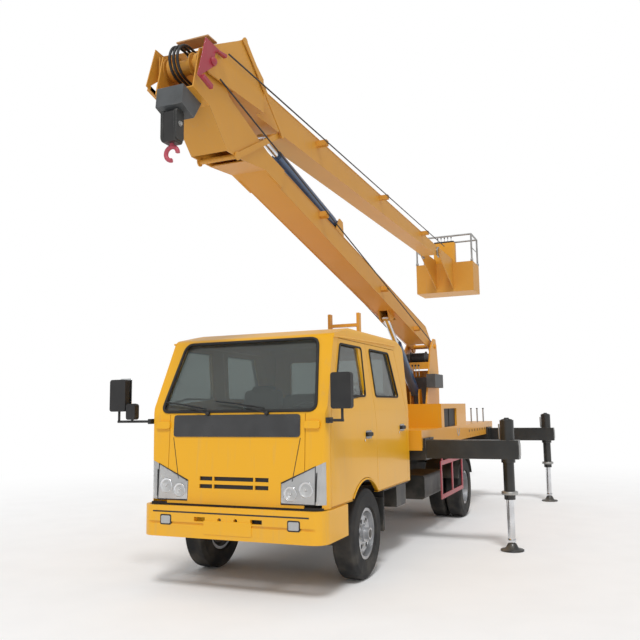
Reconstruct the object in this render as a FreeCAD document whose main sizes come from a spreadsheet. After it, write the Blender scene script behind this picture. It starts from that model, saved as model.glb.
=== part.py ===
import FreeCAD, Part
import math
import os
import Sketcher

# Frame: X to the vehicle's left, Y rearward, Z up, ground at zero.
# Stations along Y are measured back from the front axle; "origin_station" is where the frame's origin lies.
SIZES = {
    # running gear
    "origin_station": 2900, "wheelbase": 3815, "overrun": 20, "gap": 5.5, "seam": 5, "fit": 0.3,
    "tyre_radius": 388, "tyre_half": 102, "tyre_crown": 78, "tyre_shoulder": 350, "tyre_round": 16,
    "rim_seat": 205, "rim_lip": 220, "rim_half": 84, "rim_wall": 9, "rim_disc": 150, "rim_dish": 52,
    "hand_hole": 22, "hand_circle": 122, "hub_radius": 74, "hub_reach": 70, "hub_cap": 42,
    "front_track": 1475, "rear_track": 1425, "twin_half": 115, "spindle": 44, "journal_fit": 0.05,
    "kingpin_offset": 108, "kingpin_radius": 20, "kingpin_boss": 34, "kingpin_half": 62,
    "yoke_high": 26, "drum_radius": 160, "drum_half": 32, "arm_long": 150, "arm_thick": 22,
    "beam_low": 270, "beam_high": 350, "beam_half": 34, "beam_rise": 95,
    "axle_tube": 58, "diff_radius": 165, "diff_half": 120, "diff_nose": 260,
    "spring_line": 335, "spring_half": 32, "spring_thick": 46, "front_spring_long": 560,
    "rear_spring_long": 640, "shackle": 16,
    # frame
    "rail_outer": 375, "rail_high": 190, "rail_top": 740, "rail_flange": 68, "rail_wall": 8,
    "rail_front": 720, "rail_rear": 5960, "cross_radius": 45, "subframe_half": 40,
    "subframe_front": 1500, "engine_half": 270, "engine_front": -60, "engine_rear": 780,
    "engine_low": 400, "engine_high": 830, "gearbox_half": 150, "gearbox_rear": 1250,
    "gearbox_low": 470, "gearbox_high": 760, "shaft_radius": 42, "shaft_line": 560, "shaft_flange": 16,
    "tank_front": 2050, "tank_long": 900, "tank_low": 430, "tank_high": 700, "tank_outer": 820,
    "tank_inner": 420, "tank_round": 40, "case_front": 1010, "case_long": 330, "case_low": 480,
    "case_high": 690, "case_outer": 800,
    "flap_wall": 6, "flap_low": 330, "flap_high": 640, "flap_in": 560, "flap_out": 830,
    "rear_guard_radius": 470, "rear_guard_wall": 6, "rear_guard_in": 470, "rear_guard_out": 930,
    # cab
    "cab_half": 830, "cab_front": 930, "cab_low": 711, "cab_rear": 1420, "cab_belt": 1466,
    "cab_belt_front": 885, "cab_head": 2120, "cab_head_front": 600, "cab_roof": 2205,
    "roof_front": 180, "roof_rear": 1180, "cab_corner": 95, "roof_corner": 80, "cab_lean": 46,
    "cab_wall": 42, "cab_floor": 880, "floor_thick": 30, "arch_radius": 468, "sheet": 14,
    "screen_half_low": 735, "screen_half_high": 650, "screen_low": 1480, "screen_high": 2085,
    "glass": 6, "rear_glass_half": 560, "rear_glass_low": 1560, "rear_glass_high": 2020,
    "door_front_low": 822, "door_front_belt": 790, "door_front_high": 500, "door_hip": 1180,
    "door_post": 335, "door_bend": 1300, "post_lean": 170, "door_rear": 1330, "rear_lean": 260,
    "door_low": 720, "door_high": 2085, "door_arch": 486, "door_inner": 700,
    "window_low": 1597, "window_high": 2040, "front_window_dip": 1530, "front_window_lead": 720,
    "front_window_top": 480, "front_window_rear_top": 40, "front_window_rear_low": 60,
    "rear_window_lead_top": 260, "rear_window_lead_low": 350, "rear_window_rear_top": 860,
    "rear_window_rear_low": 1090, "window_round": 30, "glass_set": 18,
    "panel_low": 716, "panel_high": 1455, "panel_half": 640,

    "slot_high": 34, "slot_first": 925, "slot_second": 862, "slot_half": 185, "slot_side": 62,
    "lamp_in": 440, "lamp_out": 815, "lamp_low": 745, "lamp_in_high": 905, "lamp_out_high": 1075,
    "lamp_deep": 98,
    "tail_lamp_in": 560, "tail_lamp_out": 860, "tail_lamp_low": 830, "tail_lamp_high": 925,
    "tail_lamp_deep": 45, "tail_board_wall": 8,
    "bumper_front": 1016, "bumper_high": 706, "bumper_low": 455, "bumper_half": 845,
    "bumper_rear": 500, "bumper_wall": 30, "bumper_corner": 120, "bumper_groove": 18,
    "bumper_groove_low": 560, "fog_half": 46, "fog_place": 590, "bumper_slot": 52,
    "bumper_slot_place": 262, "bumper_hole": 17, "bumper_hole_place": 75, "bumper_row": 607,

    "mirror_place": 967, "mirror_half": 85, "mirror_high": 285, "mirror_mid": 1632,
    "mirror_deep": 62, "mirror_arm": 11, "mirror_station": 905, "mirror_foot": 1400,
    "mirror_pad": 30, "mirror_pad_long": 70,
    "mirror_round": 24, "far_mirror_out": 1180, "small_mirror_out": 1036, "small_mirror_high": 140,
    "small_mirror_half": 48,
    "seat_half": 235, "seat_place": 400, "seat_high": 1210, "seat_thick": 120, "seat_deep": 480,
    "seat_front": -120, "back_high": 1720, "back_thick": 110, "bench_half": 680, "bench_front": 800,
    "seat_foot": 60, "seat_round": 30, "back_lean": 60, "dash_front": 770, "dash_lead": 835,
    "dash_rear": 560, "dash_low": 1130,
    "dash_high": 1430, "dash_half": 700, "wheel_radius": 215, "wheel_tube": 14, "wheel_place": 400,
    "wheel_station": 350, "wheel_high": 1420, "column_radius": 26,
    # body behind the cab
    "deck_half": 950, "deck_top": 1235, "deck_plate": 20, "skirt_low": 1045, "skirt_wall": 20,
    "deck_front": 1520, "deck_rear": 6010, "fascia_low": 1020, "joist_half": 40,
    "skirt_hole": 26, "pedestal_radius": 420, "ring_radius": 400, "ring_high": 70,
    "box_front": 2450, "box_rear": 3900, "box_high": 1525, "box_wall": 18, "box_frame": 60,
    "box_frame_front": 140, "box_frame_rear": 600, "bay_inner": 250, "rest_station": 1700,
    "rest_half": 197, "rest_post": 32,
    "rest_bar_high": 2440, "rest_horn": 2600, "rest_bar": 36, "rest_brace_high": 1750, "rest_spread": 40,

    "house_half": 980, "house_low": 915, "house_high": 1150, "house_wall": 10, "beam_wall": 8,
    "leg_front": 1630, "leg_rear": 5700, "leg_side": 1840, "beam_wide": 150, "beam_tall": 196,
    "beam_mid": 1033, "beam_inner": 200, "beam_past": 120, "twin_house": 192,
    "jack_upper": 72, "jack_lower": 57, "jack_rod": 38, "jack_top": 1340, "jack_bottom": 520,
    "jack_cap": 20, "collar_high": 36,
    "foot_radius": 118, "foot_thick": 14, "foot_cone": 48, "foot_cone_high": 60, "ball": 30,
    "rod_inside": 420, "side_guard_front": 2340, "side_guard_rear": 3560, "side_guard_low": 400,
    "side_guard_high": 845, "side_guard_face": 950, "side_guard_bar": 50, "side_guard_wall": 12,
    # turret
    "slew_station": 5000, "turret_plate": 22, "turret_half": 215,
    "turret_lead_low": 470, "turret_trail_low": 420, "turret_lead_high": 60, "turret_trail_high": 440,
    "turret_waist": 2050, "turret_lead_waist": 170, "base_radius": 475, "base_thick": 45,
    "pivot_behind": 235, "pivot_high": 2460, "pivot_round": 120, "pivot_pin": 35,
    "cross_low": 2080, "cross_high": 2190, "cross_deep": 40,
    "drum_core": 70, "drum_flange": 105, "winch_half": 120, "winch_behind": 10, "winch_high": 2262,
    "drum_edge": 10, "luff_foot_lead": 240, "luff_foot_high": 1700, "luff_pin": 25,
    "lug_wall": 18, "lug_round": 62, "luff_gap": 60,
    "cabinet_lead": 360, "cabinet_long": 520, "cabinet_low": 1780, "cabinet_high": 1990,
    "cabinet_out": 350, "pack_lead": 100, "pack_trail": 300, "pack_high": 1960,
    "pack_half": 150,
    # lower boom, in its own frame: along from the luff pivot to the elbow pivot, and up from that line
    "lower_long": 7078, "lower_half": 150, "lower_wall": 8, "root_along": 350, "root_up": 220,
    "root_down": 72, "tip_along": 5985, "tip_up": -109, "tip_down": -295, "ear_half": 128,
    "luff_eye_along": 1914, "luff_eye_up": -197, "eye_round": 48, "eye_half": 30, "rod_eye": 42,
    "neck_long": 105, "neck_radius": 50,
    "luff_barrel": 75, "luff_rod": 40, "luff_barrel_long": 1170,
    "fold_foot_along": 3950, "fold_foot_up": 220, "fold_barrel": 56, "fold_rod": 30,
    "fold_barrel_long": 1560, "fold_lug_long": 150, "slot_back": 280, "slot_lead": 130,
    "link_foot_along": 6481, "link_foot_up": -463, "link_joint_along": 5833, "link_joint_up": 170,
    "head_half": 172, "head_wall": 12, "head_lead_along": 7188,
    "head_foot_along": 6620, "head_foot_up": -500,
    "shoulder_along": 6700, "shoulder_up": -40, "head_heel_along": 6330, "head_heel_up": -420,
    "link_wall": 10, "link_wide": 52, "link_pin": 22, "link_boss": 36,
    "sheave_back": 6985, "sheave_heel": 7047, "sheave_toe": 7219, "sheave_lead": 7239,
    "sheave_low": -472, "sheave_toe_up": -454, "sole_up": -300, "sole_wall": 12,
    "throat_along": 6950, "hook_along": 7165, "rope_long": 26, "rope_radius": 6, "rope_half": 30,
    "sheave_half": 118, "cover_half": 234, "cover_wall": 8, "cover_lead": 110, "cover_trail": 110,
    "cover_up": 160, "cover_down": 170, "elbow_pin": 45, "elbow_bore": 46, "idler_radius": 88,
    "idler_half": 16, "idler_place": 105, "hose_drum": 60, "line_radius": 7, "line_half": 246,
    "guide_half": 30, "first_guide": 1000, "second_guide": 2600, "third_guide": 4700,
    "block_high": 235, "block_half": 62, "block_thick": 48, "hook_bar": 17, "hook_radius": 52,

    # upper boom, in its own frame: along from the elbow pivot to the basket pivot, and up
    "upper_long": 7695, "upper_half": 120, "upper_wall": 6, "upper_root_along": 420,
    "upper_root_up": 250, "upper_root_down": -60, "upper_tip_up": 110, "upper_tip_down": 70,
    "fork_half": 205, "fork_wall": 12, "link_top_along": 547, "link_top_up": 432,
    "fork_lead": 90, "fork_long": 900, "tip_pin": 26, "tip_boss": 60, "tip_back": 120,
    # basket
    "basket_front": 7080, "basket_deep": 600, "basket_half": 545, "basket_floor": 3640,
    "basket_side": 560, "basket_rail": 1080, "basket_tube": 17, "basket_wall": 4,
    "hanger_wall": 14,
    "levelling_radius": 95, "levelling_half": 22,
    "basket_joist": 50,
}
ANGLES = {"lower_rise": 13.94, "upper_rise": 0.26, "wheel_lean": -32, "hook_sweep": 270}
COUNTS = {"hand_holes": 6, "skirt_holes": 12}
SHARES = {"rod_root_share": 0.07, "rod_start_share": 0.165}

DOC = FreeCAD.newDocument("CherryPickerTruck")
SHEET = DOC.addObject("Spreadsheet::Sheet", "Sizes")


def fill_sheet(rows):
    """Write each named value as plain text in column B, with its name as alias."""
    for row, (name, value) in enumerate(rows.items(), start=1):
        SHEET.set(f"A{row}", name)
        SHEET.set(f"B{row}", repr(value))
        SHEET.setAlias(f"B{row}", name)
    DOC.recompute()


fill_sheet({**SIZES, **ANGLES, **COUNTS, **SHARES})


class Dim:
    """A size worked out from the sheet: its expression and its present value."""

    def __init__(self, text, value):
        self.text = text
        self.value = float(value)

    def __add__(self, other):
        other = as_dim(other)
        return Dim(f"({self.text} + {other.text})", self.value + other.value)

    def __sub__(self, other):
        other = as_dim(other)
        return Dim(f"({self.text} - {other.text})", self.value - other.value)

    def __mul__(self, other):
        other = as_dim(other)
        return Dim(f"({self.text} * {other.text})", self.value * other.value)

    def __truediv__(self, other):
        other = as_dim(other)
        return Dim(f"({self.text} / {other.text})", self.value / other.value)

    def __neg__(self):
        return Dim(f"(0 - {self.text})", -self.value)

    __radd__ = __add__
    __rmul__ = __mul__

    def __rsub__(self, other):
        return as_dim(other) - self


def as_dim(number):
    """Wrap a plain share or zero so that it joins a sum."""
    return number if isinstance(number, Dim) else Dim(repr(float(number)), number)


class Sizes:
    """The sheet's cells as attributes."""

    def __getattr__(self, name):
        return Dim(f"Sizes.{name}", SHEET.get(name))


S = Sizes()
ZERO = as_dim(0)
UNIT = 1
HALF = 0.5
FULL_TURN = 360
QUARTER_TURN = 90


def cos_of(angle):
    return Dim(f"cos({angle.text} * 1 deg)", math.cos(math.radians(angle.value)))


def sin_of(angle):
    return Dim(f"sin({angle.text} * 1 deg)", math.sin(math.radians(angle.value)))


def span(a, b):
    """Distance between two places in the vehicle's middle plane."""
    run, rise = b[0] - a[0], b[1] - a[1]
    return Dim(f"hypot({run.text}; {rise.text})", math.hypot(run.value, rise.value))


def tilt(a, b):
    """Turn about X that takes the upright direction to the direction from a to b."""
    run, rise = b[0] - a[0], b[1] - a[1]
    turn = math.degrees(math.atan2(-run.value, rise.value))
    return Dim(f"atan2(0 - {run.text}; {rise.text})", turn)


def between(a, b, share):
    """The place at a share of the way from a to b."""
    return (a[0] + (b[0] - a[0]) * share, a[1] + (b[1] - a[1]) * share)


def lower(along, up):
    """Lower boom's frame to station and height: from the luff pivot towards the elbow."""
    slope = S.lower_rise
    station = S.slew_station + S.pivot_behind
    return (station - cos_of(slope) * along + sin_of(slope) * up,
            S.pivot_high + sin_of(slope) * along + cos_of(slope) * up)


def upper(along, up):
    """Upper boom's frame to station and height: from the elbow pivot towards the basket."""
    slope = S.upper_rise
    elbow = lower(S.lower_long, ZERO)
    return (elbow[0] + cos_of(slope) * along - sin_of(slope) * up,
            elbow[1] + sin_of(slope) * along + cos_of(slope) * up)


LUFF_PIVOT = lower(ZERO, ZERO)
ELBOW = lower(S.lower_long, ZERO)
TIP = upper(S.upper_long, ZERO)
LUFF_FOOT = (S.slew_station - S.luff_foot_lead, S.luff_foot_high)
LUFF_EYE = lower(S.luff_eye_along, S.luff_eye_up)
FOLD_FOOT = lower(S.fold_foot_along, S.fold_foot_up)
LINK_FOOT = lower(S.link_foot_along, S.link_foot_up)
LINK_JOINT = lower(S.link_joint_along, S.link_joint_up)
LINK_TOP = upper(S.link_top_along, S.link_top_up)

PLANE_ROLES = {"XY": "XY_Plane", "XZ": "XZ_Plane", "YZ": "YZ_Plane"}
NEAR = 0.001
NODES = []


def bind(thing, prop, size):
    """Set a property's value and the expression that keeps it."""
    thing.setExpression(prop, as_dim(size).text)


def place(thing, x, y, z):
    """Put an object's own origin at a place of the vehicle."""
    bind(thing, ".Placement.Base.x", x)
    bind(thing, ".Placement.Base.y", y - S.origin_station)
    bind(thing, ".Placement.Base.z", z)


def add(kind, label):
    thing = DOC.addObject(kind, label)
    thing.Label = label
    return thing


def block(label, x, y, z):
    """A box between two limits along each axis."""
    box = add("Part::Box", label)
    bind(box, "Length", x[1] - x[0])
    bind(box, "Width", y[1] - y[0])
    bind(box, "Height", z[1] - z[0])
    place(box, x[0], y[0], z[0])
    return box


TURNS = {
    "X": FreeCAD.Rotation(FreeCAD.Vector(0, UNIT, 0), QUARTER_TURN),
    "Y": FreeCAD.Rotation(FreeCAD.Vector(UNIT, 0, 0), -QUARTER_TURN),
    "Z": FreeCAD.Rotation(),
}


def round_bar(label, axis, start, radius, length):
    """A cylinder from a start place along X, Y or Z."""
    bar = add("Part::Cylinder", label)
    bar.Placement = FreeCAD.Placement(FreeCAD.Vector(), TURNS[axis])
    bind(bar, "Radius", radius)
    bind(bar, "Height", length)
    place(bar, *start)
    return bar


def across(label, middle, half, radius):
    """A cylinder across the vehicle, centred on its middle plane."""
    return round_bar(label, "X", (-half, *middle), radius, half * 2)


def leaning_bar(label, x, a, b, radius):
    """A cylinder between two places of a plane along the vehicle."""
    bar = add("Part::Cylinder", label)
    lean = tilt(a, b)
    bar.Placement = FreeCAD.Placement(
        FreeCAD.Vector(), FreeCAD.Rotation(FreeCAD.Vector(UNIT, 0, 0), lean.value))
    bind(bar, ".Placement.Rotation.Angle", lean)
    bind(bar, "Radius", radius)
    bind(bar, "Height", span(a, b))
    place(bar, x, *a)
    return bar


def draw(body, plane, outline):
    """A closed sketch of straight sides, each corner held by the sheet."""
    sketch = body.newObject("Sketcher::SketchObject", body.Name + "_sketch")
    role = PLANE_ROLES[plane]
    sketch.AttachmentSupport = [(next(f for f in body.Origin.OriginFeatures if f.Role == role), "")]
    sketch.MapMode = "FlatFace"
    corners = [(as_dim(u), as_dim(v)) for u, v in outline]
    total = len(corners)
    for index, (u, v) in enumerate(corners):
        after_u, after_v = corners[(index + 1) % total]
        sketch.addGeometry(Part.LineSegment(FreeCAD.Vector(u.value, v.value, 0),
                                            FreeCAD.Vector(after_u.value, after_v.value, 0)), False)
    for index in range(total):
        sketch.addConstraint(Sketcher.Constraint("Coincident", index, 2, (index + 1) % total, 1))
    for index, (u, v) in enumerate(corners):
        for kind, size in (("DistanceX", u), ("DistanceY", v)):
            row = sketch.addConstraint(Sketcher.Constraint(kind, -1, 1, index, 1, size.value))
            sketch.setExpression(f"Constraints[{row}]", size.text)
    return sketch


def fillet(body, base, edges, radius):
    """Round the named edges of a body's last feature."""
    if not edges:
        raise ValueError("no edge to round on " + body.Label)
    rounded = body.newObject("PartDesign::Fillet", body.Name + "_round")
    rounded.Base = (base, edges)
    bind(rounded, "Radius", radius)
    return rounded


PAD_PLACES = {
    "YZ": lambda vertex: (vertex.Y, vertex.Z),
    "XZ": lambda vertex: (vertex.X, vertex.Z),
    "XY": lambda vertex: (vertex.X, vertex.Y),
}


def corner_edges(shape, plane, corner):
    """Edges that run along the pad through one corner of its outline."""
    names = []
    for index, edge in enumerate(shape.Edges, start=1):
        places = [PAD_PLACES[plane](vertex) for vertex in edge.Vertexes]
        if len(places) == 2 and all(math.dist(place, corner) < NEAR for place in places):
            names.append(f"Edge{index}")
    return names


def prism(label, plane, outline, start, length, rounds=()):
    """An outline padded along the axis across its plane; rounds lists (corner numbers, radius)."""
    body = add("PartDesign::Body", label)
    sketch = draw(body, plane, outline)
    feature = body.newObject("PartDesign::Pad", body.Name + "_pad")
    feature.Profile = sketch
    bind(feature, "Length", length)
    start = as_dim(start)
    if plane == "YZ":
        place(body, start, ZERO, ZERO)
    elif plane == "XZ":
        place(body, ZERO, start + length, ZERO)
    else:
        place(body, ZERO, ZERO, start)
    for corners, radius in rounds:
        DOC.recompute()
        edges = []
        for corner in corners:
            u, v = outline[corner]
            edges += corner_edges(feature.Shape, plane, (as_dim(u).value, as_dim(v).value))
        feature = fillet(body, feature, edges, radius)
    body.Tip = feature
    return body


def turned(label, outline, centre, rounds=()):
    """An outline of (along X, radius) corners revolved about a line along X through centre."""
    body = add("PartDesign::Body", label)
    sketch = draw(body, "XY", outline)
    feature = body.newObject("PartDesign::Revolution", body.Name + "_turn")
    feature.Profile = sketch
    feature.ReferenceAxis = (sketch, ["H_Axis"])
    feature.Angle = FULL_TURN
    place(body, *centre)
    for corners, radius in rounds:
        DOC.recompute()
        edges = []
        for corner in corners:
            u, v = outline[corner]
            for index, edge in enumerate(feature.Shape.Edges, start=1):
                curve = edge.Curve
                if isinstance(curve, Part.Circle) and abs(curve.Radius - v.value) < NEAR:
                    if abs(curve.Center.x - u.value) < NEAR:
                        edges.append(f"Edge{index}")
        feature = fillet(body, feature, edges, radius)
    body.Tip = feature
    return body


def joined(label, *pieces):
    if len(pieces) == 1:
        pieces[0].Label = label
        return pieces[0]
    whole = add("Part::MultiFuse", label)
    whole.Shapes = list(pieces)
    whole.Refine = True
    return whole


def gathered(label, *pieces):
    """Pieces that share a node and stay apart."""
    group = add("Part::Compound", label)
    group.Links = list(pieces)
    return group


def cut(label, base, *tools):
    result = add("Part::Cut", label)
    result.Base = base
    result.Tool = tools[0] if len(tools) == 1 else gathered(label + "_tools", *tools)
    return result


def common(label, first, *others):
    result = first
    for index, other in enumerate(others, start=1):
        name = label if index == len(others) else f"{label}_common{index}"
        both = add("Part::Common", name)
        both.Base = result
        both.Tool = other
        result = both
    return result


def mirrored(label, source):
    """The same piece on the vehicle's other side."""
    other = add("Part::Mirroring", label)
    other.Source = source
    other.Normal = FreeCAD.Vector(UNIT, 0, 0)
    other.Base = FreeCAD.Vector()
    return other


def node(thing, name):
    """Mark an object as a finished sub-part, named for its file."""
    thing.Label = name
    NODES.append(thing)
    return thing


def both_sides(make, name):
    """A left piece and its mirror image, as two nodes."""
    left = node(make(name + "_left"), name + "_left")
    right = node(mirrored(name + "_right", left), name + "_right")
    return left, right


# Wheels and tyres
def tyre(label, middle, station):
    """One tyre: flat tread, rounded shoulders, bead at the rim seat."""
    half, crown = S.tyre_half, S.tyre_crown
    bead, lip = S.rim_half - S.rim_wall - S.fit, S.rim_lip + S.fit
    outline = [
        (-bead, S.rim_seat), (bead, S.rim_seat), (bead, lip), (half, lip + S.tyre_round),
        (half, S.tyre_shoulder), (crown, S.tyre_radius), (-crown, S.tyre_radius),
        (-half, S.tyre_shoulder), (-half, lip + S.tyre_round), (-bead, lip),
    ]
    return turned(label, outline, (middle, station, S.tyre_radius), [((4, 5, 6, 7), S.tyre_round)])


def rim(label, middle, station, dish):
    """A steel disc wheel: barrel with lips, and a disc set out by its dish."""
    half, wall = S.rim_half, S.rim_wall
    seat, barrel = S.rim_seat, S.rim_seat - S.rim_wall
    outline = [
        (-half, barrel), (-half, S.rim_lip), (-half + wall, S.rim_lip), (-half + wall, seat - S.fit),
        (half - wall, seat - S.fit), (half - wall, S.rim_lip), (half, S.rim_lip), (half, barrel),
        (dish * HALF + wall, barrel), (dish + wall, S.rim_disc), (dish + wall, S.hub_radius - S.fit),
        (dish, S.hub_radius - S.fit), (dish, S.rim_disc), (dish * HALF, barrel),
    ]
    disc = turned(label + "_disc", outline, (middle, station, S.tyre_radius))
    holes = []
    for index in range(int(S.hand_holes.value)):
        turn = as_dim(index) * FULL_TURN / S.hand_holes
        y = station + S.hand_circle * cos_of(turn)
        z = S.tyre_radius + S.hand_circle * sin_of(turn)
        start = middle - half
        holes.append(round_bar(f"{label}_hole{index}", "X", (start, y, z), S.hand_hole, half * 2))
    return cut(label, disc, *holes)


def hub(label, inner, outer, station, reach):
    """The turning hub: a sleeve over the spindle with a closed cap."""
    bore = S.spindle + S.journal_fit
    face = outer + reach
    outline = [
        (inner, bore), (inner, S.hub_radius), (face - S.hub_cap, S.hub_radius),
        (face - S.hub_cap, S.hub_cap + S.rim_wall), (face, S.hub_cap + S.rim_wall), (face, ZERO),
        (face - S.rim_wall, ZERO), (face - S.rim_wall, bore),
    ]
    return turned(label, outline, (ZERO, station, S.tyre_radius))


def front_wheels():
    middle = S.front_track * HALF
    station = ZERO

    def tyre_piece(name):
        return tyre(name, middle, station)

    def rim_piece(name):
        disc = rim(name + "_rim", middle, station, S.rim_dish)
        sleeve = hub(name + "_hub", middle - S.drum_half, middle, station, S.hub_reach + S.rim_dish)
        return joined(name, disc, sleeve)

    both_sides(tyre_piece, "front_tyre")
    both_sides(rim_piece, "front_rim")


def rear_wheels():
    middle = S.rear_track * HALF
    station = S.wheelbase
    inner, outer = middle - S.twin_half, middle + S.twin_half

    def tyre_pair(name):
        return gathered(name, tyre(name + "_inner", inner, station), tyre(name + "_outer", outer, station))

    def rim_pair(name):
        near = rim(name + "_in", inner, station, S.twin_half - S.rim_wall)
        far = rim(name + "_out", outer, station, -S.twin_half)
        sleeve = hub(name + "_hub", inner - S.drum_half, middle, station, S.hub_reach + S.drum_half)
        return joined(name, near, far, sleeve)

    both_sides(tyre_pair, "rear_tyres")
    both_sides(rim_pair, "rear_rims")


# Steering knuckles and axles
def knuckle(label):
    """Yoke round the axle's end with kingpin, brake drum, spindle and steering arm."""
    pin = S.front_track * HALF - S.kingpin_offset
    axle = S.tyre_radius
    top = S.kingpin_half + S.yoke_high
    post_up = round_bar(label + "_top", "Z", (pin, ZERO, axle + S.kingpin_half), S.kingpin_boss, S.yoke_high)
    post_down = round_bar(label + "_foot", "Z", (pin, ZERO, axle - top), S.kingpin_boss, S.yoke_high)
    bolt = round_bar(label + "_pin", "Z", (pin, ZERO, axle - top), S.kingpin_radius, top * 2)
    face = pin + S.kingpin_boss + S.yoke_high
    web = block(label + "_web", (pin, face), (-S.kingpin_boss, S.kingpin_boss), (axle - top, axle + top))
    room = block(label + "_room", (pin - S.kingpin_boss, pin + S.kingpin_boss + S.gap),
                 (-S.kingpin_boss - S.overrun, S.kingpin_boss + S.overrun),
                 (axle - S.kingpin_half, axle + S.kingpin_half))
    web_open = cut(label + "_fork", web, room)
    plate = round_bar(label + "_drum", "X", (face - S.yoke_high * HALF, ZERO, axle), S.drum_radius,
                      S.front_track * HALF - S.drum_half - S.gap - face + S.yoke_high * HALF)
    reach = S.front_track * HALF + S.hub_reach - S.hub_cap
    spindle = round_bar(label + "_spindle", "X", (face, ZERO, axle), S.spindle, reach - face)
    arm = block(label + "_arm", (pin - S.arm_thick, pin + S.arm_thick), (ZERO, S.arm_long),
                (axle - top, axle - top + S.arm_thick))
    return joined(label, post_up, post_down, bolt, web_open, plate, spindle, arm)


def spring(label, middle, station, half_long, seat, top):
    """A leaf pack that curves up from its seat to two shackles under the rail."""
    low, high = seat, seat + S.spring_thick
    eye = top - S.shackle * 2
    shares = (-1.0, -0.72, -0.4, 0.0, 0.4, 0.72, 1.0)
    under = [(station + half_long * share, low + (eye - low - S.spring_thick) * share * share)
             for share in shares]
    over = [(station + half_long * share, high + (eye - high) * share * share) for share in reversed(shares)]
    side = middle - S.spring_half
    leaves = prism(label + "_leaves", "YZ", under + over, side, S.spring_half * 2)
    hangers = []
    for end, sign in (("front", -1), ("rear", 1)):
        edge = station + half_long * sign
        hangers.append(block(f"{label}_{end}", (side, side + S.spring_half * 2),
                             (edge - S.shackle * 2, edge + S.shackle * 2), (eye - S.spring_thick, top)))
    return joined(label, leaves, *hangers)


def front_axle():
    """Dropped beam between the kingpin eyes, under two leaf packs."""
    pin = S.front_track * HALF - S.kingpin_offset
    eye_low, eye_high = S.tyre_radius - S.kingpin_half + S.fit, S.tyre_radius + S.kingpin_half - S.fit
    drop = pin - S.beam_rise
    neck = pin - S.kingpin_boss - S.arm_thick - S.gap * 2
    outline = [
        (-pin, eye_low), (-neck, eye_low), (-drop, S.beam_low), (drop, S.beam_low), (neck, eye_low),
        (pin, eye_low), (pin, eye_high), (drop, S.beam_high), (-drop, S.beam_high), (-pin, eye_high),
    ]
    beam = prism("front_beam_web", "XZ", outline, -S.beam_half, S.beam_half * 2)
    eyes = [round_bar(f"front_eye{sign}", "Z", (pin * sign, ZERO, eye_low), S.kingpin_boss, eye_high - eye_low)
            for sign in (-1, 1)]
    bores = [round_bar(f"front_bore{sign}", "Z", (pin * sign, ZERO, eye_low - S.overrun),
                       S.kingpin_radius + S.journal_fit, eye_high - eye_low + S.overrun * 2)
             for sign in (-1, 1)]
    rail_low = S.rail_top - S.rail_high
    packs = [spring(f"front_spring{sign}", S.spring_line * sign, ZERO, S.front_spring_long, S.beam_high,
                    rail_low) for sign in (-1, 1)]
    whole = joined("front_axle_whole", beam, *eyes)
    return joined("front_axle", cut("front_axle_beam", whole, *bores), *packs)


def rear_axle():
    """Banjo casing with its differential, spindles for the hubs and two leaf packs."""
    station, axle = S.wheelbase, S.tyre_radius
    drum = S.rear_track * HALF - S.twin_half - S.drum_half
    tube = across("rear_tube", (station, axle), drum - S.gap, S.axle_tube)
    case = across("rear_case", (station, axle), S.diff_half, S.diff_radius)
    nose = round_bar("rear_nose", "Y", (ZERO, station - S.diff_nose, axle), S.diff_half * HALF, S.diff_nose)
    reach = S.rear_track * HALF + S.hub_reach - S.hub_cap + S.drum_half * HALF
    spindle = across("rear_spindle", (station, axle), reach, S.spindle)
    drums = []
    for sign in (-1, 1):
        inner = drum - S.gap - S.drum_half if sign > 0 else S.gap - drum
        drums.append(round_bar(f"rear_plate{sign}", "X", (inner, station, axle), S.drum_radius, S.drum_half))
    rail_low = S.rail_top - S.rail_high
    packs = [spring(f"rear_spring{sign}", S.spring_line * sign, station, S.rear_spring_long,
                    axle + S.axle_tube - S.fit, rail_low) for sign in (-1, 1)]
    return joined("rear_axle", tube, case, nose, spindle, *drums, *packs)


def running_gear():
    front_wheels()
    rear_wheels()
    both_sides(knuckle, "knuckle")
    node(gathered("axles", front_axle(), rear_axle()), "axles")


# Chassis frame, driveline and boxes hung on the frame
def rail(label, sign):
    """One channel of the ladder frame, open towards the middle."""
    outer, inner = S.rail_outer, S.rail_outer - S.rail_flange
    low, wall = S.rail_top - S.rail_high, S.rail_wall
    outline = [
        (outer, low), (outer, S.rail_top), (inner, S.rail_top), (inner, S.rail_top - wall),
        (outer - wall, S.rail_top - wall), (outer - wall, low + wall), (inner, low + wall), (inner, low),
    ]
    if sign < 0:
        outline = [(-x, z) for x, z in outline]
    return prism(label, "XZ", outline, -S.rail_front, S.rail_front + S.rail_rear)


def house(label, station):
    """The rectangular tube that one outrigger beam slides in."""
    half = S.beam_wide * HALF + S.house_wall
    shell = block(label + "_shell", (-S.house_half, S.house_half), (station - half, station + half),
                  (S.house_low, S.house_high))
    play = S.fit
    room = block(label + "_room", (-S.house_half - S.overrun, S.house_half + S.overrun),
                 (station - S.beam_wide * HALF - play, station + S.beam_wide * HALF + play),
                 (S.beam_mid - S.beam_tall * HALF - play, S.beam_mid + S.beam_tall * HALF + play))
    return cut(label, shell, room)


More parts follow.
